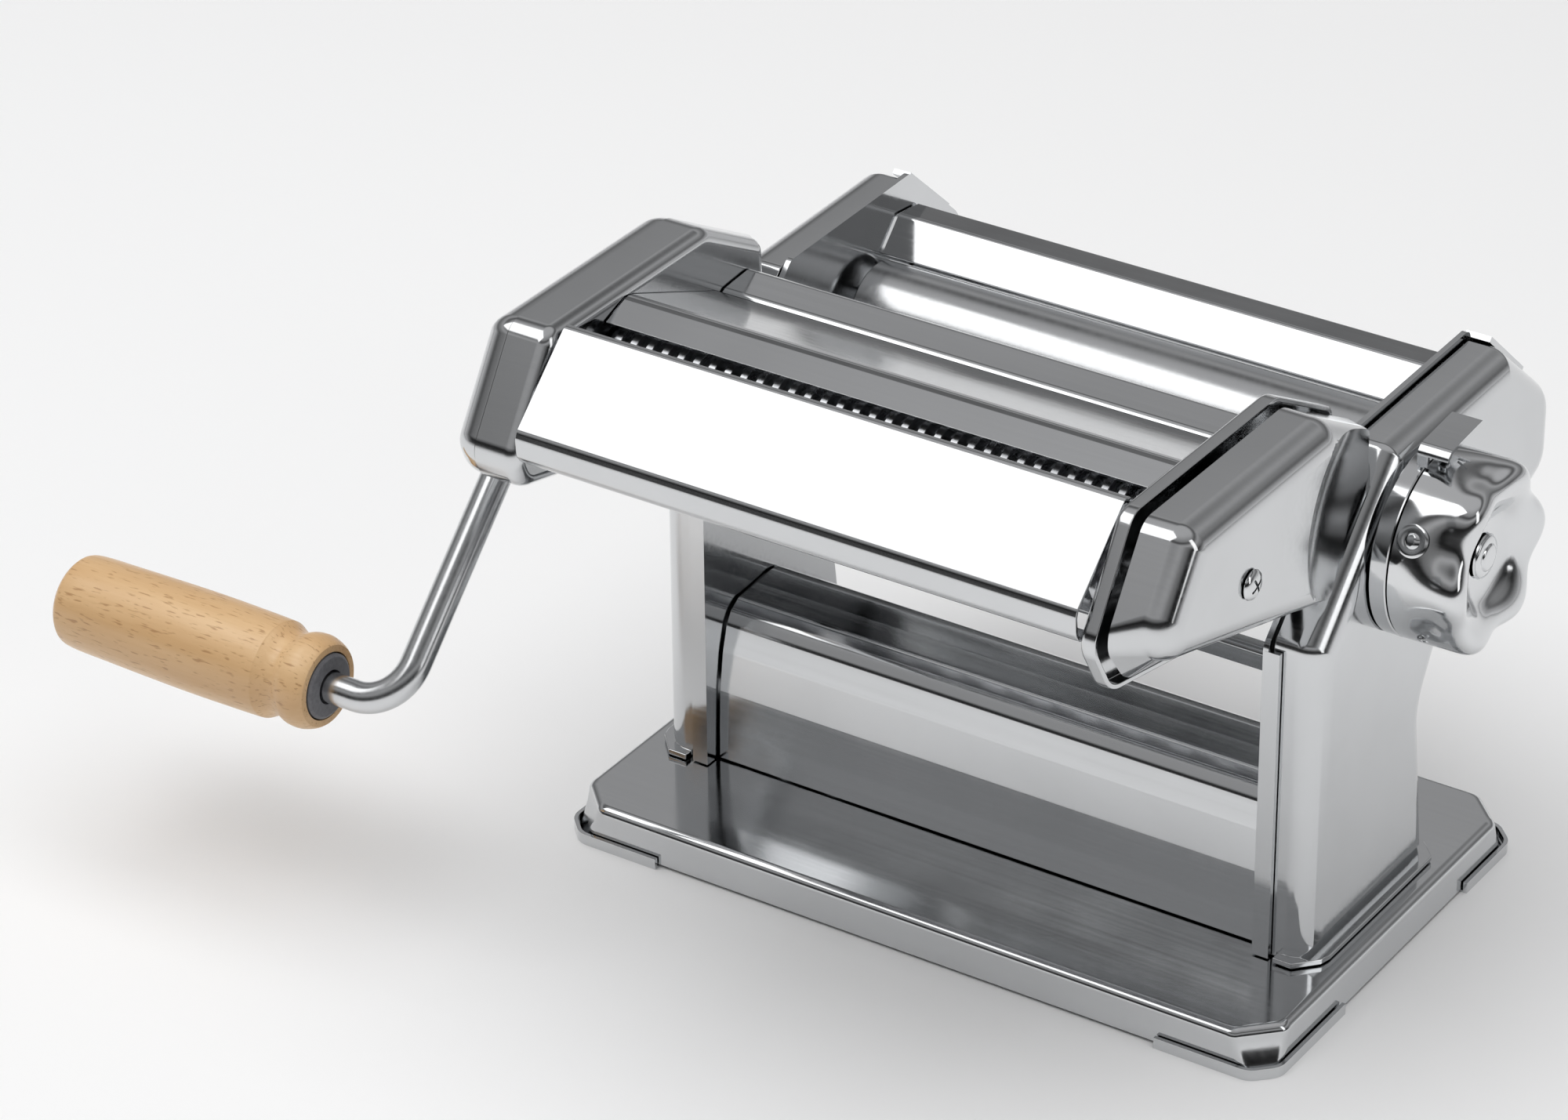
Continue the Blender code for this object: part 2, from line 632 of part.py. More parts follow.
def build_cutter_case(steel):
    half = 75.0
    cover = [(-88.2, 150.6), (-88.6, 152.0), (-90.2, 152.9), (-91.8, 152.3), (-111.2, 134.4)]
    cover += [(-111.9, 132.4), (-111.5, 128.0), (-109.9, 125.6), (-103.6, 123.9)]
    cover = [(y + 0.5, z - 0.3) for y, z in cover]
    finish("cutter_cover", prism(sheet_outline(cover, 0.9), -half, half), steel)
    divider = [(-73.9, 145.4), (-66.3, 148.0), (-64.9, 148.3), (-63.4, 147.9), (-29.2, 133.7)]
    finish("cutter_divider", prism(sheet_outline(divider, 0.9), -half, half), steel)
    back = [(-25.4, 132.0), (-24.6, 132.6), (-15.0, 133.3), (-13.0, 132.5), (-8.2, 119.0)]
    back += [(-9.6, 114.0), (-19.0, 104.8)]
    finish("cutter_back", prism(sheet_outline(back, 0.9), -half, half), steel)
    under = [(-58.0, 112.6), (-55.6, 116.6), (-51.6, 117.8)]
    finish("wide_comb", prism(sheet_outline(under, 0.9), -half, half), steel)
    under = [(-85.6, 117.2), (-81.4, 122.6), (-77.0, 122.4)]
    finish("fine_comb", prism(sheet_outline(under, 0.9), -half, half), steel)


def toothed_profile(count, share, shifted, left_x, right_x):
    """Discs and grooves along the roller; `share` is the disc's part of the pitch."""
    pitch = 2.0 * CUT_HALF / count
    profile = [(left_x, 0.0), (left_x, CUT_JOURNAL), (-CUT_HALF, CUT_JOURNAL), (-CUT_HALF, CUT_ROOT)]
    start = -CUT_HALF + pitch * (0.75 if shifted else 0.25)
    for k in range(count - (1 if shifted else 0)):
        middle = start + pitch * k
        first, second = middle - pitch * share / 2.0, middle + pitch * share / 2.0
        profile += [(first, CUT_ROOT), (first, CUT_TIP), (second, CUT_TIP), (second, CUT_ROOT)]
    profile += [(CUT_HALF, CUT_ROOT), (CUT_HALF, CUT_JOURNAL), (right_x, CUT_JOURNAL), (right_x, 0.0)]
    return profile


def build_cutter_rollers(steel, dark):
    fine = ("fine_cutter_front", "fine_cutter_rear", FINE_COUNT, FINE_AXES, 10, 1)
    wide = ("wide_cutter_front", "wide_cutter_rear", WIDE_COUNT, WIDE_AXES, 14, 0)
    for front_name, rear_name, count, axes, sides, driven in (fine, wide):
        for k, name in enumerate((front_name, rear_name)):
            y, z = axes[k]
            profile = toothed_profile(count, 0.43 if count == FINE_COUNT else 0.475, k == 1, -85.0, 79.0)
            if k == driven:
                head = [(-93.8, 0.0), (-93.8, 6.6), (-84.6, 6.6), (-84.6, CUT_JOURNAL)]
                profile = head + profile[2:]
            part = finish(name, lathe(profile, axes[k], sides), steel, (0.0, y, z))
            smooth(part)
            if k == driven:
                bored(part, name + "_socket", -96.0, SOCKET_DEPTH_X + 0.6, ROD_R + 0.4, axes[k], 12)
            gear = gear_outline(axes[k], 12, 7.3, 10.5, 0.5 * k)
            wheel = finish(name + "_gear", prism(gear, -83.8, -79.8), dark, (0.0, y, z))
            bored(wheel, name + "_gear_bore", -86.0, -76.0, CUT_JOURNAL + 0.25, axes[k], 14)


# ---------- crank ----------


def crank_path():
    """Centre line of the rod: out of the socket, down the slanting arm, out along the grip."""
    socket = Vector((SOCKET_DEPTH_X, *WIDE_AXES[0]))
    upper = Vector((ARM_X, *WIDE_AXES[0]))
    lower = Vector((ARM_X, *GRIP_AXIS))
    tip = Vector((GRIP_END + 9.0, *GRIP_AXIS))
    points = [socket]
    for corner, before, after in ((upper, socket, lower), (lower, upper, tip)):
        back = (before - corner).normalized() * BEND_R
        ahead = (after - corner).normalized() * BEND_R
        for k in range(7):
            angle = math.pi / 2.0 * k / 6.0
            points.append(corner + back * (1.0 - math.sin(angle)) + ahead * (1.0 - math.cos(angle)))
    points.append(tip)
    return points


def build_crank(steel, wood, dark):
    origin = Vector((ARM_X, *WIDE_AXES[0]))
    curve = bpy.data.curves.new("crank_path", "CURVE")
    curve.dimensions = "3D"
    curve.bevel_depth = ROD_R
    curve.bevel_resolution = 2
    curve.use_fill_caps = True
    line = curve.splines.new("POLY")
    points = crank_path()
    line.points.add(len(points) - 1)
    for spot, point in zip(line.points, points):
        spot.co = (*point, 1.0)
    guide = bpy.data.objects.new("crank_path", curve)
    TOOLS.objects.link(guide)
    mesh = bpy.data.meshes.new_from_object(guide)
    bpy.data.objects.remove(guide)
    bm = bmesh.new()
    bm.from_mesh(mesh)
    bmesh.ops.remove_doubles(bm, verts=bm.verts, dist=0.01)
    smooth(finish("crank_rod", bm, steel, origin))

    place = (0.0, *GRIP_AXIS)
    bore = 8.7
    grip = [
        (-208.0, 0.0), (-208.0, 5.2), (-146.0, 5.2), (-146.0, bore), (-132.4, bore),
        (-132.4, 10.3), (-133.6, 11.1), (-136.2, 11.9), (-138.8, 11.8), (-140.6, 11.2), (-142.2, 10.6), (-144.2, 10.9), (-146.6, 12.1), (-148.2, 12.4),
        (-170.0, 12.7), (-195.0, 12.3), (-206.0, 12.0), (-209.0, 10.9), (-210.4, 7.8),
        (-210.7, 0.0),
    ]
    part = finish("wooden_grip", lathe(grip, GRIP_AXIS, 24), wood, place)
    smooth(part, 60.0)
    bush = [(-131.6, 4.4), (-131.6, 7.6), (-132.2, 8.3), (-145.6, 8.3), (-145.6, 4.4)]
    part = finish("grip_bush", lathe(bush, GRIP_AXIS, 24, True), dark, place)
    smooth(part)


def main():
    global PARTS, TOOLS
    clear_scene()
    PARTS = new_collection("pasta_roller_machine")
    TOOLS = new_collection("shaping_tools")
    steel = material("polished_steel", (0.62, 0.63, 0.64), 0.16, 1.0)
    bright = material("bright_chrome", (0.74, 0.75, 0.76), 0.08, 1.0)
    dark = material("dark_steel", (0.22, 0.22, 0.23), 0.38, 1.0)
    grey = material("grey_bush", (0.16, 0.16, 0.17), 0.5, 0.0)
    wood = material("beech", (0.62, 0.41, 0.2), 0.42, 0.0)

    build_base(steel)
    build_foot("foot_front_right", 1, 1, 70.0, -26.0, steel)
    build_foot("foot_front_left", -1, 1, 72.5, -26.0, steel)
    build_foot("foot_rear_right", 1, -1, 70.0, -34.5, steel)
    build_foot("foot_rear_left", -1, -1, 72.5, -34.5, steel)
    for side, word in ((-1, "left"), (1, "right")):
        build_side_plate("side_plate_" + word, side, steel)
        build_side_shell("side_shell_" + word, side, steel)
        build_cutter_end(side, word, steel)
        build_cutter_shell(side, word, steel)
    build_guides(steel)
    build_rollers(steel, dark)
    build_knob(steel, bright, dark)
    build_cutter_case(steel)
    build_cutter_rollers(steel, dark)
    build_crank(steel, wood, grey)


main()
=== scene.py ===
import math

import bmesh
import bpy
from mathutils import Matrix, Vector


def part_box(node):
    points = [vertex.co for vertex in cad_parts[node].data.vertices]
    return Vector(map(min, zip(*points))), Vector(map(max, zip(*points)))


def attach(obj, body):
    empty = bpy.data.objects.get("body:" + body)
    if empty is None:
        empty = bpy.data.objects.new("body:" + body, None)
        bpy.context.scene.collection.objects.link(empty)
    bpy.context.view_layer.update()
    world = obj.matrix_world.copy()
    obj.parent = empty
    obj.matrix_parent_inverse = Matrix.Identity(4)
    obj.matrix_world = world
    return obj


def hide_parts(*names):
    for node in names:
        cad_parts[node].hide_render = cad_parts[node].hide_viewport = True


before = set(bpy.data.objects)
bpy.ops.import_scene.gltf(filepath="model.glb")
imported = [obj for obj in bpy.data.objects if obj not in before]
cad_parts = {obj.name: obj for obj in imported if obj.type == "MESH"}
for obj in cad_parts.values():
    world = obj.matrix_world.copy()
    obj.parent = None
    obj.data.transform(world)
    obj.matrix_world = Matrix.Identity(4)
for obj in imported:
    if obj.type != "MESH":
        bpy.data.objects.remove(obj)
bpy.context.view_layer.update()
mm = 0.001
baseLow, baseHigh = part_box("base_plate")
# the drawing's zero: middle of the base, on its top face
home = Vector(((baseLow.x + baseHigh.x) / 2, baseLow.y + 61.6 * mm, baseHigh.z))
print("machine loaded:", len(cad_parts), "nodes")


# studio: camera, soft lights and a pale floor

shot = {
    "centre": (0.682312, -1.047158, 0.801095),
    "turn": 33.6727, "tilt": 30.1484, "roll": -0.56788,  # degrees
    "lens": 135.70, "sensor": 36.0, "farthest": 20.0,
}

studio = {
    "floorSize": 6.0, "floorTone": (0.93, 0.93, 0.93), "floorRoughness": 0.7, "floorShine": 0.2,
    "backdrop": (0.93, 0.93, 0.93), "sky": 1.0,
    "frontWay": (0.43, -0.90, 0.0), "frontStart": -0.25, "frontFull": 0.45,
    # what the steel mirrors, by height: 0 straight down, 0.5 at the horizon, 1 straight up
    "rearTones": [
        (0.0, 0.8), (1.0, 0.5), (0.5, 0.62), (0.55, 0.40), (0.62, 0.16),
        (0.70, 0.26), (0.78, 0.40), (0.86, 0.12), (0.93, 0.5),
    ],
    "frontTones": [
        (0.0, 0.6), (1.0, 0.5), (0.47, 0.5), (0.52, 0.05), (0.62, 0.012),
        (0.69, 0.20), (0.76, 0.42), (0.84, 0.08), (0.90, 0.30),
    ],
    "aimHeight": 0.08,
    "keyPower": 5.0, "keySize": (1.25, 0.80), "keyFrom": (-0.40, -0.37, 0.84), "keyAway": 1.5,
    "fillPower": 1.6, "fillSize": (0.35, 1.1), "fillFrom": (0.80, -0.10, 0.42), "fillAway": 1.5,
    "roomPower": 46.0, "roomSize": (3.0, 3.0), "roomFrom": (0.0, -0.1, 1.0), "roomAway": 2.4,
}


def setCamera():
    lens = bpy.data.cameras.new("studioCamera")
    lens.sensor_width = shot["sensor"]
    lens.lens = shot["lens"]
    lens.clip_end = shot["farthest"]
    camera = bpy.data.objects.new("studioCamera", lens)
    bpy.context.scene.collection.objects.link(camera)
    turn = Matrix.Rotation(math.radians(shot["turn"]), 4, "Z")
    tilt = Matrix.Rotation(math.radians(90.0 - shot["tilt"]), 4, "X")
    roll = Matrix.Rotation(math.radians(shot["roll"]), 4, "Z")
    camera.matrix_world = Matrix.Translation(shot["centre"]) @ turn @ tilt @ roll
    bpy.context.scene.camera = camera


def softBox(name, power, size, towards, away):
    light = bpy.data.lights.new(name, "AREA")
    light.shape = "RECTANGLE"
    light.size, light.size_y = size
    light.energy = power
    lamp = bpy.data.objects.new(name, light)
    bpy.context.scene.collection.objects.link(lamp)
    aim = Vector(towards).normalized()
    lamp.location = Vector((0.0, 0.0, studio["aimHeight"])) + aim * away
    lamp.rotation_euler = aim.to_track_quat("Z", "Y").to_euler()
    return lamp


def skyTones(tree, stops, height):
    tones = tree.nodes.new("ShaderNodeValToRGB")
    tree.links.new(height, tones.inputs["Fac"])
    ramp = tones.color_ramp
    ramp.interpolation = "EASE"
    for k, (place, tone) in enumerate(stops):
        stop = ramp.elements[k] if k < 2 else ramp.elements.new(place)
        stop.position = place
        stop.color = (tone, tone, tone * 1.01, 1.0)
    return tones.outputs["Color"]


def studioSky():
    world = bpy.data.worlds.new("softStudio")
    bpy.context.scene.world = world
    world.use_nodes = True
    tree = world.node_tree
    tree.nodes.clear()
    where = tree.nodes.new("ShaderNodeTexCoord")
    split = tree.nodes.new("ShaderNodeSeparateXYZ")
    tree.links.new(where.outputs["Generated"], split.inputs[0])
    height = tree.nodes.new("ShaderNodeMapRange")
    height.inputs["From Min"].default_value = -1.0
    tree.links.new(split.outputs["Z"], height.inputs["Value"])
    facing = tree.nodes.new("ShaderNodeVectorMath")
    facing.operation = "DOT_PRODUCT"
    facing.inputs[1].default_value = studio["frontWay"]
    tree.links.new(where.outputs["Generated"], facing.inputs[0])
    front = tree.nodes.new("ShaderNodeMapRange")
    front.interpolation_type = "SMOOTHSTEP"
    front.inputs["From Min"].default_value = studio["frontStart"]
    front.inputs["From Max"].default_value = studio["frontFull"]
    tree.links.new(facing.outputs["Value"], front.inputs["Value"])
    rearTones = skyTones(tree, studio["rearTones"], height.outputs[0])
    frontTones = skyTones(tree, studio["frontTones"], height.outputs[0])
    blend = tree.nodes.new("ShaderNodeMix")
    blend.data_type = "RGBA"
    tree.links.new(front.outputs[0], blend.inputs["Factor"])
    tree.links.new(rearTones, blend.inputs["A"])
    tree.links.new(frontTones, blend.inputs["B"])
    glow = tree.nodes.new("ShaderNodeBackground")
    glow.inputs["Strength"].default_value = studio["sky"]
    tree.links.new(blend.outputs["Result"], glow.inputs["Color"])
    plain = tree.nodes.new("ShaderNodeBackground")
    plain.inputs["Color"].default_value = (*studio["backdrop"], 1.0)
    seen = tree.nodes.new("ShaderNodeLightPath")
    choose = tree.nodes.new("ShaderNodeMixShader")
    tree.links.new(seen.outputs["Is Camera Ray"], choose.inputs["Fac"])
    tree.links.new(glow.outputs[0], choose.inputs[1])
    tree.links.new(plain.outputs[0], choose.inputs[2])
    out = tree.nodes.new("ShaderNodeOutputWorld")
    tree.links.new(choose.outputs[0], out.inputs["Surface"])


def paleFloor():
    bm = bmesh.new()
    bmesh.ops.create_circle(bm, cap_ends=True, segments=64, radius=studio["floorSize"])
    mesh = bpy.data.meshes.new("studioFloor")
    bm.to_mesh(mesh)
    bm.free()
    floor = bpy.data.objects.new("studioFloor", mesh)
    bpy.context.scene.collection.objects.link(floor)
    paper = bpy.data.materials.new("floorPaper")
    paper.use_nodes = True
    shader = paper.node_tree.nodes["Principled BSDF"]
    shader.inputs["Base Color"].default_value = (*studio["floorTone"], 1.0)
    shader.inputs["Roughness"].default_value = studio["floorRoughness"]
    shader.inputs["Specular IOR Level"].default_value = studio["floorShine"]
    mesh.materials.append(paper)


setCamera()
studioSky()
paleFloor()
for lamp in ("key", "fill", "room"):
    power, size, towards, away = [studio[lamp + word] for word in ("Power", "Size", "From", "Away")]
    box = softBox(lamp + "Box", power, size, towards, away)
    box.visible_glossy = lamp != "room"  # the room light only lifts the floor and the wood
bpy.context.scene.view_settings.view_transform = "Standard"
print("camera, lights and floor ready")


# finishes

def addNode(tree, kind, **settings):
    node = tree.nodes.new(kind)
    for name, value in settings.items():
        setattr(node, name, value)
    return node


def startFinish(name, metallic, tone, roughness):
    look = bpy.data.materials.new(name)
    look.use_nodes = True
    tree = look.node_tree
    shader = tree.nodes["Principled BSDF"]
    shader.inputs["Base Color"].default_value = (*tone, 1.0)
    shader.inputs["Roughness"].default_value = roughness
    shader.inputs["Metallic"].default_value = metallic
    look.diffuse_color = (*tone, 1.0)
    return look, tree, shader


def grain(tree, stretch, size, detail=3.0, rough=0.55):
    where = addNode(tree, "ShaderNodeTexCoord")
    pull = addNode(tree, "ShaderNodeMapping")
    pull.inputs["Scale"].default_value = stretch
    tree.links.new(where.outputs["Object"], pull.inputs["Vector"])
    noise = addNode(tree, "ShaderNodeTexNoise")
    noise.inputs["Scale"].default_value = size
    noise.inputs["Detail"].default_value = detail
    noise.inputs["Roughness"].default_value = rough
    tree.links.new(pull.outputs["Vector"], noise.inputs["Vector"])
    return noise.outputs["Fac"]


def between(tree, value, low, high, fromLow=0.3, fromHigh=0.7):
    spread = addNode(tree, "ShaderNodeMapRange")
    spread.inputs["From Min"].default_value = fromLow
    spread.inputs["From Max"].default_value = fromHigh
    spread.inputs["To Min"].default_value = low
    spread.inputs["To Max"].default_value = high
    tree.links.new(value, spread.inputs["Value"])
    return spread.outputs["Result"]


def join(tree, operation, first, second):
    joined = addNode(tree, "ShaderNodeMath", operation=operation)
    for socket, value in zip(joined.inputs, (first, second)):
        if isinstance(value, (int, float)):
            socket.default_value = value
        else:
            tree.links.new(value, socket)
    return joined.outputs[0]


def relief(tree, shader, height, strength, distance, under=None):
    bump = addNode(tree, "ShaderNodeBump")
    bump.inputs["Strength"].default_value = strength
    bump.inputs["Distance"].default_value = distance
    tree.links.new(height, bump.inputs["Height"])
    if under is not None:
        tree.links.new(under, bump.inputs["Normal"])
    tree.links.new(bump.outputs["Normal"], shader.inputs["Normal"])
    return bump.outputs["Normal"]


def twoTones(tree, value, first, second):
    mix = addNode(tree, "ShaderNodeMix", data_type="RGBA")
    for name, tone in (("A", first), ("B", second)):
        if isinstance(tone, tuple):
            mix.inputs[name].default_value = (*tone, 1.0)
        else:
            tree.links.new(tone, mix.inputs[name])
    tree.links.new(value, mix.inputs["Factor"])
    return mix.outputs["Result"]


def sheetMetal(name, tone, roughness, sway, brush, brushAxis):
    look, tree, shader = startFinish(name, 1.0, tone, roughness)
    smears = grain(tree, even, metal["smearSize"], 4.0)
    stretch = [metal["lineFine"]] * 3
    stretch[brushAxis] = metal["lineLong"]
    lines = grain(tree, tuple(stretch), 1.0, 2.0)
    dim = tuple(c * metal["dim"] for c in tone)
    bright = tuple(min(c * metal["bright"], 1.0) for c in tone)
    tint = twoTones(tree, between(tree, smears, 0.0, 1.0), dim, bright)
    tree.links.new(tint, shader.inputs["Base Color"])
    smeared = between(tree, smears, roughness * metal["smooth"], roughness * metal["dull"])
    dull = join(tree, "ADD", smeared, between(tree, lines, *metal["lineDull"]))
    tree.links.new(dull, shader.inputs["Roughness"])
    waves = relief(tree, shader, grain(tree, even, metal["waveSize"], 1.0, 0.4), 1.0, sway)
    relief(tree, shader, lines, 1.0, brush, waves)
    return look


even = (1.0, 1.0, 1.0)  # noise that isn't drawn out along any axis
metal = {
    "smearSize": 38.0, "waveSize": 20.0, "lineFine": 900.0, "lineLong": 9.0,
    "dim": 0.965, "bright": 1.02, "smooth": 0.8, "dull": 1.35, "lineDull": (-0.02, 0.03),
}
# sway is how far the sheet waves and brush how deep its lines are, in metres
finishes = {
    "polishedSteel": {
        "tone": (0.64, 0.65, 0.66), "roughness": 0.11, "sway": 0.00022, "brush": 0.0000020, "brushAxis": 0,
    },
    "brightChrome": {
        "tone": (0.72, 0.73, 0.74), "roughness": 0.09, "sway": 0.00055, "brush": 0.0000008, "brushAxis": 0,
    },
    "turnedSteel": {
        "tone": (0.64, 0.65, 0.66), "roughness": 0.18, "sway": 0.00002, "brush": 0.0000040, "brushAxis": 1,
    },
    "rolledSheet": {
        "tone": (0.62, 0.63, 0.64), "roughness": 0.16, "sway": 0.00012, "brush": 0.0000036, "brushAxis": 0,
    },
    "cutSteel": {
        "tone": (0.60, 0.61, 0.63), "roughness": 0.24, "sway": 0.00001, "brush": 0.0000050, "brushAxis": 1,
    },
    "darkSteel": {
        "tone": (0.20, 0.20, 0.21), "roughness": 0.40, "sway": 0.00002, "brush": 0.0000060, "brushAxis": 1,
    },
}
polishedSteel, brightChrome, turnedSteel, rolledSheet, cutSteel, darkSteel = [
    sheetMetal(name, **facts) for name, facts in finishes.items()
]

wood = {
    "pale": (0.74, 0.50, 0.27), "warm": (0.60, 0.36, 0.165), "fleck": (0.40, 0.21, 0.085),
    "roughness": 0.36, "oil": 0.25, "oilRoughness": 0.22, "poreDepth": 0.00006,
}


def beechWood():
    look, tree, shader = startFinish("oiledBeech", 0.0, wood["pale"], wood["roughness"])
    bands = grain(tree, (9.0, 75.0, 75.0), 1.0, 4.0, 0.6)
    fibres = grain(tree, (60.0, 1300.0, 1300.0), 1.0, 2.0)
    flecks = grain(tree, (260.0, 1500.0, 1500.0), 1.0, 1.0)
    colour = twoTones(tree, between(tree, bands, 0.0, 1.0, 0.32, 0.68), wood["pale"], wood["warm"])
    colour = twoTones(tree, between(tree, fibres, 0.0, 0.22), colour, wood["warm"])
    colour = twoTones(tree, between(tree, flecks, 0.0, 0.75, 0.60, 0.72), colour, wood["fleck"])
    tree.links.new(colour, shader.inputs["Base Color"])
    tree.links.new(between(tree, fibres, 0.30, 0.46), shader.inputs["Roughness"])
    shader.inputs["Coat Weight"].default_value = wood["oil"]
    shader.inputs["Coat Roughness"].default_value = wood["oilRoughness"]
    pores = join(tree, "ADD", fibres, join(tree, "MULTIPLY", flecks, -0.8))
    relief(tree, shader, pores, 0.6, wood["poreDepth"])
    return look


plastic = {
    "tone": (0.13, 0.13, 0.14), "dark": (0.11, 0.11, 0.12), "pale": (0.17, 0.17, 0.18),
    "roughness": 0.48, "speckle": 900.0, "speckleDepth": 0.00004,
}


def greyBush():
    look, tree, shader = startFinish("greyBush", 0.0, plastic["tone"], plastic["roughness"])
    speckle = grain(tree, even, plastic["speckle"], 3.0)
    tint = twoTones(tree, between(tree, speckle, 0.0, 1.0), plastic["dark"], plastic["pale"])
    tree.links.new(tint, shader.inputs["Base Color"])
    tree.links.new(between(tree, speckle, 0.38, 0.58), shader.inputs["Roughness"])
    relief(tree, shader, speckle, 0.4, plastic["speckleDepth"])
    return look


oiledBeech = beechWood()
bushGrey = greyBush()
print("finishes ready")


# shaping tools, all in drawing millimetres

weld = 0.002  # points closer than this are one


def cornerArc(here, toLast, toNext, radius, steps):
    half = toLast.angle(toNext) / 2.0
    reach = radius / math.tan(half)
    middle = here + (toLast + toNext).normalized() * (radius / math.sin(half))
    start = here + toLast * reach - middle
    turn = start.angle_signed(here + toNext * reach - middle)
    arc = []
    for k in range(steps + 1):
        spoke = start.copy()
        spoke.rotate(Matrix.Rotation(-turn * k / steps, 2))
        arc.append(tuple(middle + spoke))
    return arc


def roundedOutline(corners, steps=9):
    outline = []
    count = len(corners)
    for i in range(count):
        y, z, radius = corners[i]
        here = Vector((y, z))
        toLast = (Vector(corners[i - 1][:2]) - here).normalized()
        toNext = (Vector(corners[(i + 1) % count][:2]) - here).normalized()
        outline += cornerArc(here, toLast, toNext, radius, steps) if radius > 0.0 else [(y, z)]
    return outline


def insetCorners(corners, distance):
    moved = []
    count = len(corners)
    for i in range(count):
        y, z, radius = corners[i]
        here = Vector((y, z))
        before = (here - Vector(corners[i - 1][:2])).normalized()
        after = (Vector(corners[(i + 1) % count][:2]) - here).normalized()
        inward = Vector((before.y + after.y, -before.x - after.x)).normalized()
        place = here + inward * (distance / inward.dot(Vector((after.y, -after.x))))
        if radius > 0.0:  # hollow corners open up, outer ones tighten
            radius = radius + distance if before.cross(after) > 0.0 else max(radius - distance, 0.8)
        moved.append((place.x, place.y, radius))
    return moved


def foldedStrip(path, thickness):
    other = []
    last = len(path) - 1
    for i in range(len(path)):
        here = Vector(path[i])
        before = here - Vector(path[max(i - 1, 0)])
        after = Vector(path[min(i + 1, last)]) - here
        before = (after if before.length == 0.0 else before).normalized()
        after = (before if after.length == 0.0 else after).normalized()
        left = Vector((-before.y - after.y, before.x + after.x)).normalized()
        lean = max(left.dot(Vector((-after.y, after.x))), 0.4)
        other.append(tuple(here + left * (thickness / lean)))
    return list(path) + other[::-1]


def softBends(path, radii, steps=7):
    drawn = [path[0]]
    for i in range(1, len(path) - 1):
        here = Vector(path[i])
        toLast = Vector(path[i - 1]) - here
        toNext = Vector(path[i + 1]) - here
        spread = math.tan(toLast.angle(toNext) / 2.0)
        # two bends on one short flat share it
        radius = min(radii[i - 1], toLast.length * 0.49 * spread, toNext.length * 0.49 * spread)
        drawn += cornerArc(here, toLast.normalized(), toNext.normalized(), radius, steps)
    return drawn + [path[-1]]


def cutFrom(outline, x0, x1):
    bm = bmesh.new()
    bm.faces.new([bm.verts.new((x0, y, z)) for y, z in outline])
    grown = bmesh.ops.extrude_face_region(bm, geom=list(bm.faces))
    moved = [item for item in grown["geom"] if isinstance(item, bmesh.types.BMVert)]
    bmesh.ops.translate(bm, verts=moved, vec=(x1 - x0, 0.0, 0.0))
    return bm


def skinned(rings):
    bm = bmesh.new()
    loops = [[bm.verts.new(point) for point in ring] for ring in rings]
    for first, second in zip(loops[:-1], loops[1:]):
        for k in range(len(first)):
            n = (k + 1) % len(first)
            bm.faces.new((first[k], first[n], second[n], second[k]))
    bm.faces.new(loops[0])
    bm.faces.new(loops[-1])
    return bm


def pressedDome(corners, x0, x1, fillet, base=None, steps=9):
    rings = [[(x0, y, z) for y, z in roundedOutline(base or corners)]]
    for k in range(steps + 1):
        angle = math.pi / 2.0 * k / steps
        x = x1 - fillet * (1.0 - math.sin(angle))
        outline = roundedOutline(insetCorners(corners, fillet * (1.0 - math.cos(angle))))
        rings.append([(x, y, z) for y, z in outline])
    return skinned(rings)


def brick(x0, x1, y0, y1, z0, z1):
    return cutFrom([(y0, z0), (y1, z0), (y1, z1), (y0, z1)], x0, x1)


def turned(profile, centre, sides=96, closed=False):
    bm = bmesh.new()
    verts = [bm.verts.new((x, centre[0], centre[1] + radius)) for x, radius in profile]
    edges = [bm.edges.new(pair) for pair in zip(verts[:-1], verts[1:])]
    if closed:
        edges.append(bm.edges.new((verts[-1], verts[0])))
    bmesh.ops.spin(
        bm, geom=verts + edges, cent=(0.0, centre[0], centre[1]), axis=(1.0, 0.0, 0.0),
        angle=math.tau, steps=sides, use_merge=True,
    )
    bmesh.ops.remove_doubles(bm, verts=bm.verts, dist=weld)
    return bm


def roundBar(x0, x1, radius, centre, sides=48):
    return turned([(x0, 0.0), (x0, radius), (x1, radius), (x1, 0.0)], centre, sides)


def onSide(bm, side):
    if side < 0:
        bmesh.ops.scale(bm, vec=(-1.0, 1.0, 1.0), verts=bm.verts)
    return bm


def pieceFrom(name, bm):
    bmesh.ops.remove_doubles(bm, verts=bm.verts, dist=weld)
    bmesh.ops.dissolve_degenerate(bm, edges=bm.edges, dist=weld)
    bmesh.ops.recalc_face_normals(bm, faces=bm.faces)
    if bm.calc_volume(signed=True) < 0.0:
        bmesh.ops.reverse_faces(bm, faces=bm.faces)
    bmesh.ops.transform(bm, matrix=Matrix.Translation(home) @ Matrix.Scale(mm, 4), verts=bm.verts)
    mesh = bpy.data.meshes.new(name)
    bm.to_mesh(mesh)
    bm.free()
    piece = bpy.data.objects.new(name, mesh)
    bpy.context.scene.collection.objects.link(piece)
    return piece


def settle(piece):
    seen = bpy.context.evaluated_depsgraph_get()
    fresh = bpy.data.meshes.new_from_object(piece.evaluated_get(seen))
    piece.modifiers.clear()
    piece.data = fresh


def cutWith(piece, tool, operation="DIFFERENCE"):
    step = piece.modifiers.new("cut", "BOOLEAN")
    step.operation = operation
    step.solver = "EXACT"
    step.object = tool
    settle(piece)
    bpy.data.objects.remove(tool, do_unlink=True)


def workOn(piece, bm, operation="DIFFERENCE"):
    cutWith(piece, pieceFrom("cutter", bm), operation)


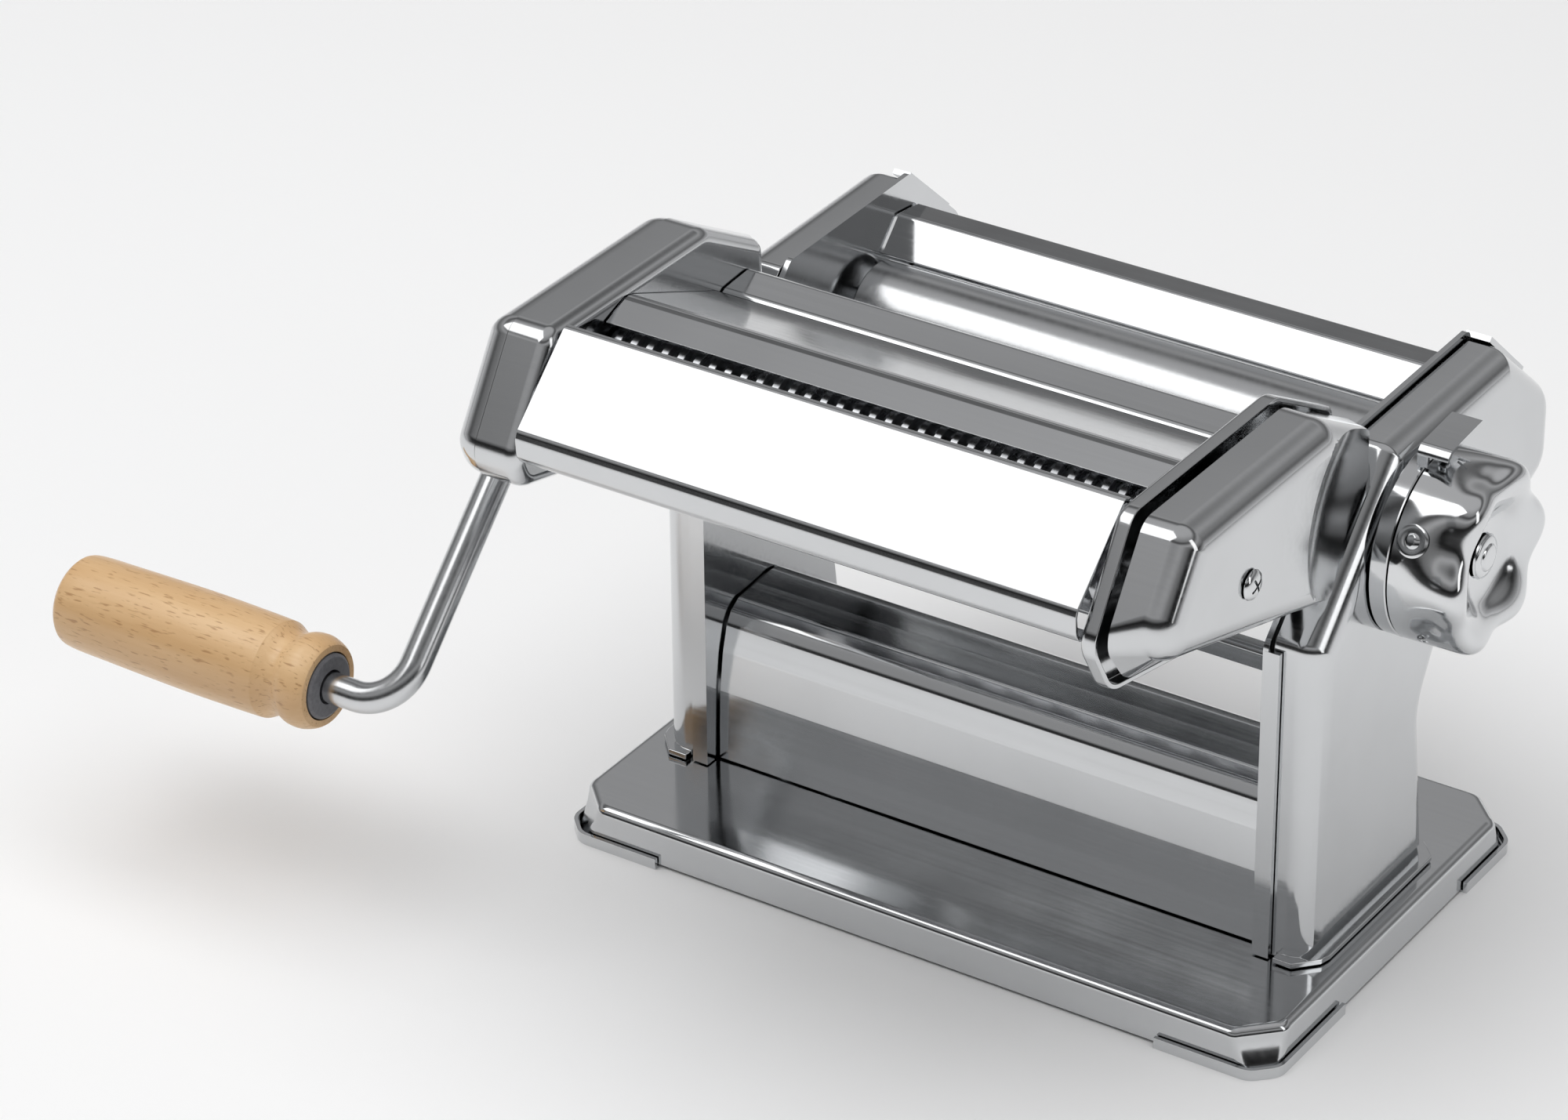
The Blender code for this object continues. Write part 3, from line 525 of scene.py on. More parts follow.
# angles in degrees: edges steeper than "from" are rounded over, those past "sharp" stay crisp
rounding = {"steps": 2, "from": 45.0, "sharp": 50.0, "weight": 60}


def fit(piece, look, body, nodes=(), sharp=32.0, edge=0.2):
    piece.data.materials.clear()
    piece.data.materials.append(look)
    if edge:
        bevel = piece.modifiers.new("edge", "BEVEL")
        bevel.width = edge * mm
        bevel.segments = rounding["steps"]
        bevel.limit_method = "ANGLE"
        bevel.angle_limit = math.radians(rounding["from"])
        bevel.harden_normals = False
    piece.data.shade_smooth()
    piece.data.set_sharp_from_angle(angle=math.radians(rounding["sharp"] if edge else sharp))
    flat = piece.modifiers.new("flat", "WEIGHTED_NORMAL")
    flat.keep_sharp = True
    flat.weight = rounding["weight"]
    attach(piece, body)
    if nodes:
        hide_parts(*nodes)
    return piece


# base and feet

base = {
    "halfX": 100.0, "front": 61.6, "back": 62.8, "corner": 9.5, "cornerLow": 5.0, "cornerSoft": 4.0,
    "sheet": 1.4, "skirt": 10.5, "roll": 2.4, "rollInside": 1.2, "full": -5.5, "flare": -8.6, "floor": -11.4,
}
lip = {"gap": 0.35, "out": 1.35, "top": -8.4, "under": -5.5, "sheet": 0.6, "firstTurn": 7, "lastTurn": 21}
lips = [
    ("frontRightFoot", 1, 1, 70.0, -26.0, "foot_front_right"),
    ("frontLeftFoot", -1, 1, 72.5, -26.0, "foot_front_left"),
    ("rearRightFoot", 1, -1, 70.0, -34.5, "foot_rear_right"),
    ("rearLeftFoot", -1, -1, 72.5, -34.5, "foot_rear_left"),
]


def basePlan(inset, cut, steps=6):
    x, front, back = base["halfX"] - inset, -base["front"] + inset, base["back"] - inset
    cut -= 0.586 * inset  # keeps the cut corner's sheet as thick as the sides'
    plan = [
        (-x + cut, front), (x - cut, front), (x, front + cut), (x, back - cut),
        (x - cut, back), (-x + cut, back), (-x, back - cut), (-x, front + cut),
    ]
    return roundedOutline([(*place, base["cornerSoft"]) for place in plan], steps)


def baseTray():
    def tray(levels):
        return skinned([[(x, y, z) for x, y in basePlan(inset, cut)] for z, inset, cut in levels])

    roll, rollInside, skirt, full = base["roll"], base["rollInside"], base["skirt"], base["full"]
    high, low, sheet = base["corner"], base["cornerLow"], base["sheet"]
    outer = [(-skirt, 0.0, low), (base["flare"], 0.0, low + 1.4), (full, 0.0, high - 1.0)]
    inner = [(-skirt - 2.0, sheet, low), (-skirt, sheet, low), (full, sheet, high - 1.0)]
    for k in range(8):
        angle = math.pi / 2.0 * k / 7
        down, over = 1.0 - math.sin(angle), 1.0 - math.cos(angle)
        outer.append((-roll * down, roll * over, high))
        inner.append((-sheet - rollInside * down, sheet + rollInside * over, high))
    piece = pieceFrom("baseTray", tray(outer))
    workOn(piece, tray(inner))
    fit(piece, polishedSteel, "frame", ["base_plate"])


def cornerFoot(name, sideX, sideY, alongX, alongY, node):
    corner = basePlan(0.0, base["cornerLow"])[lip["firstTurn"]:lip["lastTurn"]]
    path = [(alongX, -base["front"])] + corner + [(base["halfX"], alongY)]
    floor, fold = base["floor"], base["floor"] + lip["sheet"]
    section = (
        (lip["gap"], lip["top"]), (lip["out"], lip["top"]), (lip["out"], floor),
        (lip["under"], floor), (lip["under"], fold), (lip["gap"], fold),
    )
    back = base["back"] - base["front"] if sideY < 0 else 0.0
    rings = []
    last = len(path) - 1
    for i, point in enumerate(path):
        here = Vector(point)
        before = here - Vector(path[max(i - 1, 0)])
        after = Vector(path[min(i + 1, last)]) - here
        before = (after if i == 0 else before).normalized()
        after = (before if i == last else after).normalized()
        out = Vector((before.y + after.y, -before.x - after.x)).normalized()
        stretch = 1.0 / out.dot(Vector((after.y, -after.x)))
        ring = []
        for reach, z in section:
            place = here + out * (reach * stretch)
            ring.append((place.x * sideX, place.y * sideY + back, z))
        rings.append(ring)
    fit(pieceFrom(name, skinned(rings)), polishedSteel, "frame", [node], edge=0.15)


baseTray()
for facts in lips:
    cornerFoot(*facts)
print("base and feet made")


# stanchions: flat inner plates under pressed shells

frontAxis, rearAxis = (14.5, 97.8), (42.5, 97.3)  # y and z of the two sheeting rollers
stand = {
    "plateIn": 78.2, "plateOut": 79.6, "plateFront": -31.0, "plateTop": 125.4, "plateFoot": 0.4,
    "lip": 82.6, "lipSheet": 1.3, "lipTop": 84.6,
    "ear": [(63.6, 124.8), (82.0, 108.3), (83.0, 109.4), (64.6, 125.9)], "earLeft": 1.0, "earRight": 2.8,
    "shellIn": 80.2, "shellOut": 92.8, "shellFront": -29.3, "shellTop": 123.6, "shellFoot": 0.6,
    "wall": 1.4, "fillet": 7.0, "flange": 95.2, "flangeSheet": 1.4,
    "frontHole": 7.0, "socketHole": 7.6, "shaftHole": 4.4, "rearHole": 5.4,
}


def standCorners(front, rearShift, top, foot):
    slantTop = (top - 90.0) / 0.97 - 27.4  # where the slanting front reaches the top
    return [
        (front, foot, 0.0), (front, 86.0 + (front + 31.0) * 0.3, 5.0), (slantTop, top, 3.0),
        (63.5 + rearShift * 0.4, top + 0.8, 3.0), (88.0 + rearShift, 104.2 + rearShift * 0.4, 10.0),
        (88.0 + rearShift, 83.0, 10.0), (34.0 + rearShift * 0.3, 61.0, 14.0),
        (25.6 + rearShift * 0.3, 46.0, 16.0), (32.2 + rearShift * 0.6, foot, 0.0),
    ]


def standPlate(side, word):
    inside, front, foot = stand["plateIn"], stand["plateFront"], stand["plateFoot"]
    outline = roundedOutline(standCorners(front, 0.0, stand["plateTop"], foot))
    piece = pieceFrom(word + "StandPlate", onSide(cutFrom(outline, inside, stand["plateOut"]), side))
    lipBack = front + stand["lipSheet"]
    frontLip = brick(inside + 0.5, stand["lip"], front, lipBack, foot, stand["lipTop"])
    workOn(piece, onSide(frontLip, side), "UNION")
    reach = stand["lip"] + (stand["earRight"] if side > 0 else stand["earLeft"])
    workOn(piece, onSide(cutFrom(stand["ear"], inside + 0.4, reach), side), "UNION")
    frontHole = stand["socketHole"] if side < 0 else stand["shaftHole"]
    for centre, radius in ((frontAxis, frontHole), (rearAxis, stand["rearHole"])):
        workOn(piece, roundBar(side * 76.0, side * 82.0, radius, centre))
    fit(piece, polishedSteel, "frame", ["side_plate_" + word])


def standShell(side, word):
    corners = standCorners(stand["shellFront"], -1.0, stand["shellTop"], stand["shellFoot"])
    start, end, wall, fillet = stand["shellIn"], stand["shellOut"], stand["wall"], stand["fillet"]
    piece = pieceFrom(word + "StandShell", onSide(pressedDome(corners, start, end, fillet), side))
    hollow = pressedDome(insetCorners(corners, wall), start - 3.0, end - wall, fillet - wall)
    workOn(piece, onSide(hollow, side))
    edge, low = stand["flange"], stand["plateFoot"]
    tab = [
        (84.2, -31.9), (89.4, -31.9), (94.4, -26.4), (edge, -23.4), (edge, 27.8), (90.4, 33.0), (84.2, 33.0),
    ]
    flange = skinned([[(x, y, z) for x, y in tab] for z in (low, low + stand["flangeSheet"])])
    workOn(piece, onSide(flange, side), "UNION")
    centre, radius = (frontAxis, stand["frontHole"]) if side > 0 else (rearAxis, stand["socketHole"])
    workOn(piece, roundBar(side * 88.0, side * 98.0, radius, centre))
    fit(piece, polishedSteel, "frame", ["side_shell_" + word])


for side, word in ((-1, "left"), (1, "right")):
    standPlate(side, word)
    standShell(side, word)
print("stanchions made")


# folded sheets between the stanchions

sheets = {
    "doughChute": {
        "path": [
            (3.6, 2.0), (4.4, 39.6), (1.6, 42.8), (-2.0, 43.4), (-9.0, 42.9), (-17.0, 42.6), (-20.4, 40.6),
            (-22.4, 37.6), (-24.3, 30.7), (-25.8, 20.0), (-26.2, 9.0), (-26.4, 0.5),
        ],
        "bend": 4.0, "sheet": 1.0, "half": 77.6,
        "node": "dough_chute", "body": "frame", "look": polishedSteel,
    },
    "hopperPlate": {
        "path": [(50.2, 109.2), (57.7, 116.7), (66.6, 115.7), (67.6, 110.4)],
        "bend": 1.0, "sheet": 1.0, "half": 77.6,
        "node": "hopper_plate", "body": "frame", "look": polishedSteel,
    },
    "frontScraper": {
        "path": [(9.5, 73.0), (13.0, 81.8), (18.0, 82.7)],
        "bend": 1.2, "sheet": 0.9, "half": 77.6,
        "node": "front_scraper", "body": "frame", "look": rolledSheet,
    },
    "rearScraper": {
        "path": [(39.0, 82.1), (44.0, 81.2), (47.5, 72.0)],
        "bend": 1.2, "sheet": 0.9, "half": 77.6,
        "node": "rear_scraper", "body": "frame", "look": rolledSheet,
    },
    "rearTieBar": {
        "path": [(21.4, 44.0), (21.4, 48.4), (23.6, 49.4)],
        "bend": 1.0, "sheet": 1.2, "half": 77.7,
        "node": "rear_tie_bar", "body": "frame", "look": rolledSheet,
    },
    "cutterCover": {
        "path": [
            (-87.7, 150.3), (-88.1, 151.7), (-89.7, 152.6), (-91.3, 152.0), (-110.7, 134.1), (-111.4, 132.1),
            (-111.0, 127.7), (-109.4, 125.3), (-103.1, 123.6),
        ],
        "bend": 3.0, "sheet": 0.9, "half": 75.0,
        "node": "cutter_cover", "body": "cutter_unit", "look": polishedSteel,
    },
    "cutterDivider": {
        "path": [(-73.9, 145.4), (-66.3, 148.0), (-64.9, 148.3), (-63.4, 147.9), (-29.2, 133.7)],
        "bend": 1.6, "sheet": 0.9, "half": 75.0,
        "node": "cutter_divider", "body": "cutter_unit", "look": polishedSteel,
    },
    "cutterBack": {
        "path": [
            (-25.4, 132.0), (-24.6, 132.6), (-15.0, 133.3), (-13.0, 132.5), (-8.2, 119.0), (-9.6, 114.0),
            (-19.0, 104.8),
        ],
        "bend": 2.0, "sheet": 0.9, "half": 75.0,
        "node": "cutter_back", "body": "cutter_unit", "look": polishedSteel,
    },
    "wideComb": {
        "path": [(-58.0, 112.6), (-55.6, 116.6), (-51.6, 117.8)],
        "bend": 1.0, "sheet": 0.9, "half": 75.0,
        "node": "wide_comb", "body": "cutter_unit", "look": rolledSheet,
    },
    "fineComb": {
        "path": [(-85.6, 117.2), (-81.4, 122.6), (-77.0, 122.4)],
        "bend": 1.0, "sheet": 0.9, "half": 75.0,
        "node": "fine_comb", "body": "cutter_unit", "look": rolledSheet,
    },
}

for name, facts in sheets.items():
    path = softBends(facts["path"], [facts["bend"]] * (len(facts["path"]) - 2))
    half = facts["half"]
    piece = pieceFrom(name, cutFrom(foldedStrip(path, facts["sheet"]), -half, half))
    fit(piece, facts["look"], facts["body"], [facts["node"]], edge=0.12)
tieRod = {"half": 77.7, "radius": 3.0, "axis": (66.0, 98.0)}
piece = pieceFrom("upperTieRod", roundBar(-tieRod["half"], tieRod["half"], tieRod["radius"], tieRod["axis"]))
fit(piece, turnedSteel, "frame", ["upper_tie_rod"])
print("folded sheets made")


# sheeting rollers

rollers = {
    "radius": 13.5, "half": 75.0, "chamfer": 0.4, "journal": 5.0, "sides": 128,
    "socketEnd": -93.6, "socket": 6.6, "socketFoot": -87.4, "socketBore": 4.4, "rearEnd": 84.0,
    "bore": 5.3, "sleeve": 6.2, "sleeveLeft": -86.9, "sleeveRight": 78.0,
}


def sheetRollers():
    radius, half, chamfer = rollers["radius"], rollers["half"], rollers["chamfer"]
    barrel = [(-half, radius - chamfer), (chamfer - half, radius)]
    barrel += [(half - chamfer, radius), (half, radius - chamfer)]
    end, socket, journal, foot = [rollers[word] for word in ("socketEnd", "socket", "journal", "socketFoot")]
    rear = [(end, 0.0), (end, socket - chamfer), (end + chamfer, socket)]
    rear += [(foot, socket), (foot, journal), (-half, journal)]
    rear += barrel + [(half, journal), (rollers["rearEnd"], journal), (rollers["rearEnd"], 0.0)]
    piece = pieceFrom("rearRoller", turned(rear, rearAxis, rollers["sides"]))
    workOn(piece, roundBar(-96.0, -80.0, rollers["socketBore"], rearAxis))
    fit(piece, turnedSteel, "rear_sheeter", ["rear_roller"], edge=0)
    left, right, bore, sleeve = [rollers[word] for word in ("sleeveLeft", "sleeveRight", "bore", "sleeve")]
    front = [(left, bore), (left, sleeve), (-half, sleeve)]
    front += barrel + [(half, sleeve), (right, sleeve), (right, bore)]
    piece = pieceFrom("frontRoller", turned(front, frontAxis, rollers["sides"], True))
    fit(piece, turnedSteel, "front_sheeter", ["front_roller"], edge=0)


sheetRollers()
print("sheeting rollers made")


# thickness knob

knob = {"radius": 23.6, "lobes": 6, "phase": 0.576, "depth": 0.11, "faceDip": 1.4}
marks = {"count": 6, "size": 4.2, "raise": 0.12, "soft": 0.06, "x": 104.4, "first": 90.0, "step": -45.0}
dimple = {
    "angle": 151.0, "x": 102.6, "sides": 40,
    "profile": [
        (4.0, -0.3), (4.0, 0.02), (3.5, 0.20), (2.9, 0.22), (2.3, 0.03), (1.9, 0.0), (1.5, 0.24), (0.9, 0.42),
        (0.2, 0.46),
    ],
}
strap = {
    "path": [(24.2, 126.4), (9.4, 125.2), (8.2, 124.2), (8.2, 121.0)], "bend": 1.0, "sheet": 1.0,
    "left": 96.0, "right": 104.0, "notch": (98.8, 106.0, 6.0, 10.4, 119.0, 123.9),
    "stud": [(121.8, 0.0), (121.9, 1.3), (122.3, 1.7), (124.6, 1.7), (124.6, 0.0)],
    "studAt": (100.6, 12.2, 0.0),
}


def smoothProfile(points, steps=4):
    # a Catmull-Rom curve through the drawn points
    drawn = []
    for i in range(len(points) - 1):
        a, b = Vector(points[max(i - 1, 0)]), Vector(points[i])
        c, d = Vector(points[i + 1]), Vector(points[min(i + 2, len(points) - 1)])
        square, cube = 2.0 * a - 5.0 * b + 4.0 * c - d, 3.0 * b - a - 3.0 * c + d
        for k in range(steps):
            t = k / steps
            point = 0.5 * (2.0 * b + (c - a) * t + square * t * t + cube * t ** 3)
            drawn.append((point.x, point.y))
    return drawn + [points[-1]]


def eased(value, start, length):
    share = min(max((value - start) / length, 0.0), 1.0)
    return share * share * (3.0 - 2.0 * share)


def knobCup():
    rim = knob["radius"]
    outside = [
        (98.2, rim), (99.2, rim), (103.0, rim), (108.0, rim), (112.2, rim - 0.1), (114.8, rim - 0.9),
        (116.2, rim - 2.8), (116.2, rim - 5.2), (114.6, rim - 8.6), (111.6, 11.0), (110.6, 7.6), (110.6, 3.6),
    ]
    inside = [
        (109.2, 3.6), (109.2, 8.0), (110.2, 11.2), (113.0, rim - 8.4), (114.6, rim - 5.4), (114.5, rim - 3.8),
        (113.4, rim - 2.6), (111.2, rim - 1.9), (98.2, rim - 1.6),
    ]
    bm = turned(smoothProfile(outside) + smoothProfile(inside), frontAxis, 168, True)
    for vert in bm.verts:
        dy = vert.co.y - frontAxis[0]
        dz = vert.co.z - frontAxis[1]
        radius = math.hypot(dy, dz)
        hollow = 0.5 + 0.5 * math.cos(knob["lobes"] * (math.atan2(dz, dy) - knob["phase"]))
        depth = eased(vert.co.x, 100.0, 12.0)  # the grip hollows deepen towards the face
        reach = eased(radius, 9.0, 9.0)  # and fade out towards the rivet
        shrink = 1.0 - knob["depth"] * hollow * depth * reach
        vert.co.y = frontAxis[0] + dy * shrink
        vert.co.z = frontAxis[1] + dz * shrink
        vert.co.x -= knob["faceDip"] * hollow * reach * min(max((vert.co.x - 108.0) / 4.0, 0.0), 1.0)
    piece = pieceFrom("knobCup", bm)
    fit(piece, brightChrome, "gap_knob", ["thickness_knob"], sharp=60.0, edge=0)


def knobRest():
    rim = knob["radius"]
    ring = [
        (93.2, 9.0), (93.2, rim - 0.3), (93.5, rim), (97.3, rim), (97.6, rim - 0.3), (97.6, rim - 1.3),
        (94.6, rim - 1.3), (94.6, 9.0),
    ]
    piece = pieceFrom("knobCollar", turned(ring, frontAxis, 128, True))
    fit(piece, polishedSteel, "frame", ["knob_collar"], edge=0)
    rivet = [
        (110.9, 0.0), (110.9, 5.2), (111.3, 5.35), (111.8, 5.1), (112.1, 4.2), (112.15, 3.5), (112.6, 3.1),
        (112.8, 2.2), (112.8, 0.0),
    ]
    piece = pieceFrom("knobRivet", turned(smoothProfile(rivet, 3), frontAxis, 64))
    fit(piece, brightChrome, "gap_knob", ["knob_screw"], edge=0)


def pointerStrap():
    path = softBends(strap["path"], [strap["bend"]] * (len(strap["path"]) - 2))
    bm = cutFrom(foldedStrip(path, -strap["sheet"]), strap["left"], strap["right"])
    piece = pieceFrom("pointerStrap", bm)
    workOn(piece, brick(*strap["notch"]))
    fit(piece, polishedSteel, "frame", ["pointer_bracket"], edge=0.15)


def knobMarks():
    # plain numbers embossed round the barrel, one for each gap
    rim = knob["radius"]
    for k in range(marks["count"]):
        text = bpy.data.curves.new("mark", "FONT")
        text.body = str(k + 1)
        text.size = marks["size"] * mm
        text.extrude = marks["raise"] * mm
        text.bevel_depth = marks["soft"] * mm
        text.align_x, text.align_y = "CENTER", "CENTER"
        letter = bpy.data.objects.new("mark", text)
        bpy.context.scene.collection.objects.link(letter)
        settled = bpy.data.meshes.new_from_object(letter)
        bpy.data.objects.remove(letter, do_unlink=True)
        angle = math.radians(marks["first"] + marks["step"] * k)
        for vert in settled.vertices:  # wrap the flat number round the barrel
            along, across, up = vert.co
            turn = angle - along / (rim * mm)
            reach = rim * mm + up
            y = frontAxis[0] * mm + reach * math.cos(turn)
            z = frontAxis[1] * mm + reach * math.sin(turn)
            vert.co = home + Vector((marks["x"] * mm + across, y, z))
        piece = bpy.data.objects.new("knobMark" + str(k + 1), settled)
        bpy.context.scene.collection.objects.link(piece)
        fit(piece, brightChrome, "gap_knob", edge=0)


def knobDimple():
    # pressed locating ring on the front of the barrel
    angle, rim = math.radians(dimple["angle"]), knob["radius"]
    rings = []
    for reach, height in dimple["profile"]:
        ring = []
        for k in range(dimple["sides"]):
            turn = math.tau * k / dimple["sides"]
            x = dimple["x"] + reach * math.cos(turn)
            swing = angle + reach * math.sin(turn) / rim
            y = frontAxis[0] + (rim + height) * math.cos(swing)
            z = frontAxis[1] + (rim + height) * math.sin(swing)
            ring.append((x, y, z))
        rings.append(ring)
    fit(pieceFrom("knobDimple", skinned(rings)), brightChrome, "gap_knob", edge=0)


def pointerStud():
    bm = turned(strap["stud"], (0.0, 0.0), 32)
    upright = Matrix.Rotation(-math.pi / 2.0, 3, "Y")
    bmesh.ops.rotate(bm, verts=bm.verts, cent=(0.0, 0.0, 0.0), matrix=upright)
    bmesh.ops.translate(bm, verts=bm.verts, vec=strap["studAt"])
    fit(pieceFrom("pointerStud", bm), brightChrome, "frame", edge=0)


knobCup()
knobRest()
pointerStrap()
knobMarks()
knobDimple()
pointerStud()
print("knob made")


# duplex cutter case

fineAxes = ((-88.4, 134.4), (-69.8, 134.4))  # y and z, front roller first
wideAxes = ((-39.2, 122.0), (-20.6, 122.0))
cutter = {
    "plateIn": 75.4, "sheet": 1.2, "lip": 79.4, "lipRoll": 1.4, "rimLeft": 87.2, "rimRoll": 3.6,
    "shellRight": 81.0, "shellOut": 95.2, "wall": 1.4, "rightFillet": 7.0, "leftFillet": 7.2, "seam": 0.3,
    "shaftHole": 3.4, "socketHole": 7.6, "screwHole": 1.9,
    "dishBall": 74.0, "dishDepth": 6.4, "dishSwing": 0.63, "dishAxis": (-13.0, 120.5),
}
screws = {
    "rightAxis": (-69.6, 126.8), "leftAxis": (-55.6, 121.0),
    "rightFoot": 77.2, "leftFoot": 85.0, "shank": 1.5,
    "head": [(95.5, 1.5), (95.5, 3.6), (95.7, 3.7), (96.3, 3.4), (96.8, 2.5), (97.05, 1.2), (97.1, 0.0)],
    "slot": (95.9, 98.0, -2.2, 2.2, -0.35, 0.35), "turn": 0.5,
}


def slantAt(y):
    # height of the stanchions' slanting fronts, which the caps rest on
    return 90.9 + 0.97 * (y + 28.0)


def capCorners(back, lowFront, lowBack):
    backTop = 151.8 - 0.5635 * (back + 31.0)
    return [
        (-111.5, 125.4, 7.0), (-94.6, 152.2, 6.0), (-31.0, 151.8, 9.0), (back, backTop, 4.0),
        (back + 1.4, slantAt(back + 1.4), 2.0), (lowBack, slantAt(lowBack), 5.0), lowFront,
    ]


def leftCap(back):
    return capCorners(back, (-108.0, 116.6, 8.0), -22.0)


def capPlate(side, word):
    if side > 0:
        rim = corners = capCorners(-4.0, (-103.0, 110.6, 9.0), -24.0)
        reach, roll = cutter["lip"], cutter["lipRoll"]
    else:
        rim, corners, reach, roll = leftCap(5.2), leftCap(-6.0), cutter["rimLeft"], cutter["rimRoll"]
    sheet, inside = cutter["sheet"], cutter["plateIn"]
    piece = pieceFrom(word + "CapPlate", onSide(pressedDome(corners, -reach, -inside, roll, rim, 6), -side))
    corners, rim = insetCorners(corners, sheet), insetCorners(rim, sheet)
    hollow = pressedDome(corners, -reach - 0.5, -inside - sheet, roll - sheet, rim, 4)
    workOn(piece, onSide(hollow, -side))
    for centre in fineAxes + wideAxes:
        workOn(piece, roundBar(side * 74.4, side * 78.4, cutter["shaftHole"], centre, 24))
    fit(piece, polishedSteel, "cutter_unit", ["cutter_end_plate_" + word])


def pressedDish(extra):
    # the round hollow beside the knob is part of a large ball
    ball = cutter["dishBall"] + extra
    bottom = cutter["shellOut"] - cutter["dishDepth"] - extra
    profile = [(bottom, 0.0)]
    for k in range(1, 25):
        angle = cutter["dishSwing"] * k / 24
        profile.append((bottom + ball * (1.0 - math.cos(angle)), ball * math.sin(angle)))
    profile.append((profile[-1][0] + 8.0, profile[-1][1]))
    profile.append((profile[-1][0], 0.0))
    return turned(profile, cutter["dishAxis"], 144)


def capShell(side, word):
    wall = cutter["wall"]
    if side > 0:
        rim = [
            (-109.2, 125.6, 8.0), (-93.0, 150.2, 6.0), (-31.4, 149.8, 9.0), (2.4, 131.0, 4.0),
            (4.4, slantAt(4.4) + 1.1, 2.0), (-22.0, slantAt(-22.0) + 1.1, 5.0), (-99.4, 112.6, 9.0),
        ]
        crown = [
            (-108.8, 126.6, 9.0), (-92.8, 150.2, 6.0), (-31.4, 149.7, 9.0), (-6.0, 135.4, 5.0),
            (-3.4, 121.0, 4.0), (-25.4, 99.0, 6.0), (-99.6, 120.2, 9.0),
        ]
        start, fillet = cutter["shellRight"], cutter["rightFillet"]
    else:
        rim = crown = insetCorners(leftCap(5.2), cutter["seam"])
        start, fillet = cutter["rimLeft"] + cutter["seam"], cutter["leftFillet"]
    end = cutter["shellOut"]
    piece = pieceFrom(word + "CapShell", onSide(pressedDome(crown, start, end, fillet, rim, 12), side))
    crown, rim = insetCorners(crown, wall), insetCorners(rim, wall)
    room = pressedDome(crown, start - 0.5, end - wall, fillet - wall, rim, 9)
    hollow = pieceFrom("hollow", onSide(room, side))
    if side > 0:
        workOn(piece, pressedDish(0.0))
        workOn(hollow, pressedDish(wall))
    cutWith(piece, hollow)
    if side < 0:
        for centre in (fineAxes[1], wideAxes[0]):
            workOn(piece, roundBar(-98.0, -90.0, cutter["socketHole"], centre))
    workOn(piece, roundBar(side * 90.0, side * 98.0, cutter["screwHole"], screws[word + "Axis"]))
    fit(piece, polishedSteel, "cutter_unit", ["cutter_shell_" + word])


def capScrew(side, word):
    axis, foot = screws[word + "Axis"], screws[word + "Foot"]
    profile = [(foot, 0.0), (foot, screws["shank"])] + screws["head"]
    piece = pieceFrom(word + "CapScrew", onSide(turned(profile, axis, 64), side))
    x0, x1, *across = screws["slot"]
    for angle in (screws["turn"], screws["turn"] + math.pi / 2.0):  # cross recess
        slot = brick(side * x0, side * x1, *across)
        bmesh.ops.rotate(slot, verts=slot.verts, cent=(0.0, 0.0, 0.0), matrix=Matrix.Rotation(angle, 3, "X"))
        bmesh.ops.translate(slot, verts=slot.verts, vec=(0.0, *axis))
        workOn(piece, slot)
    fit(piece, brightChrome, "cutter_unit", ["cutter_screw_" + word], edge=0.08)


for side, word in ((-1, "left"), (1, "right")):
    capPlate(side, word)
    capShell(side, word)
    capScrew(side, word)
print("cutter case made")


# cutting rollers

cutters = {
    "fine": {
        "count": 34, "share": 0.43, "axes": fineAxes, "driven": 1,
        "nodes": ("fine_cutter_front", "fine_cutter_rear"), "bodies": ("fine_mate", "fine_driver"),
    },
    "wide": {
        "count": 11, "share": 0.475, "axes": wideAxes, "driven": 0,
        "nodes": ("wide_cutter_front", "wide_cutter_rear"), "bodies": ("wide_driver", "wide_mate"),
    },
}
disc = {"half": 74.6, "root": 8.2, "tip": 9.9, "chamfer": 0.12, "journal": 3.0, "socketBore": 4.3}


def cuttingRollers():
    half, root, tip, journal = [disc[word] for word in ("half", "root", "tip", "journal")]
    shy = disc["chamfer"]
    for kind, facts in cutters.items():
        pitch = 2.0 * half / facts["count"]
        for k, node in enumerate(facts["nodes"]):
            profile = [(-85.0, 0.0), (-85.0, journal), (-half, journal), (-half, root)]
            start = -half + pitch * (0.75 if k == 1 else 0.25)  # one roller's discs sit in the other's gaps
            for n in range(facts["count"] - k):
                first = start + pitch * n - pitch * facts["share"] / 2.0
                second = start + pitch * n + pitch * facts["share"] / 2.0
                profile += [(first, root), (first, tip - shy), (first + shy, tip)]
                profile += [(second - shy, tip), (second, tip - shy), (second, root)]
            profile += [(half, root), (half, journal), (79.0, journal), (79.0, 0.0)]
            if k == facts["driven"]:
                socket = [(-93.8, 0.0), (-93.8, 6.3), (-93.5, 6.6), (-84.6, 6.6), (-84.6, journal)]
                profile = socket + profile[2:]
            piece = pieceFrom(kind + ("Front", "Rear")[k] + "Cutter", turned(profile, facts["axes"][k], 64))
            if k == facts["driven"]:
                workOn(piece, roundBar(-96.0, -85.6, disc["socketBore"], facts["axes"][k]))
            fit(piece, cutSteel, facts["bodies"][k], [node], edge=0)


cuttingRollers()
print("cutting rollers made")


# crank and grip

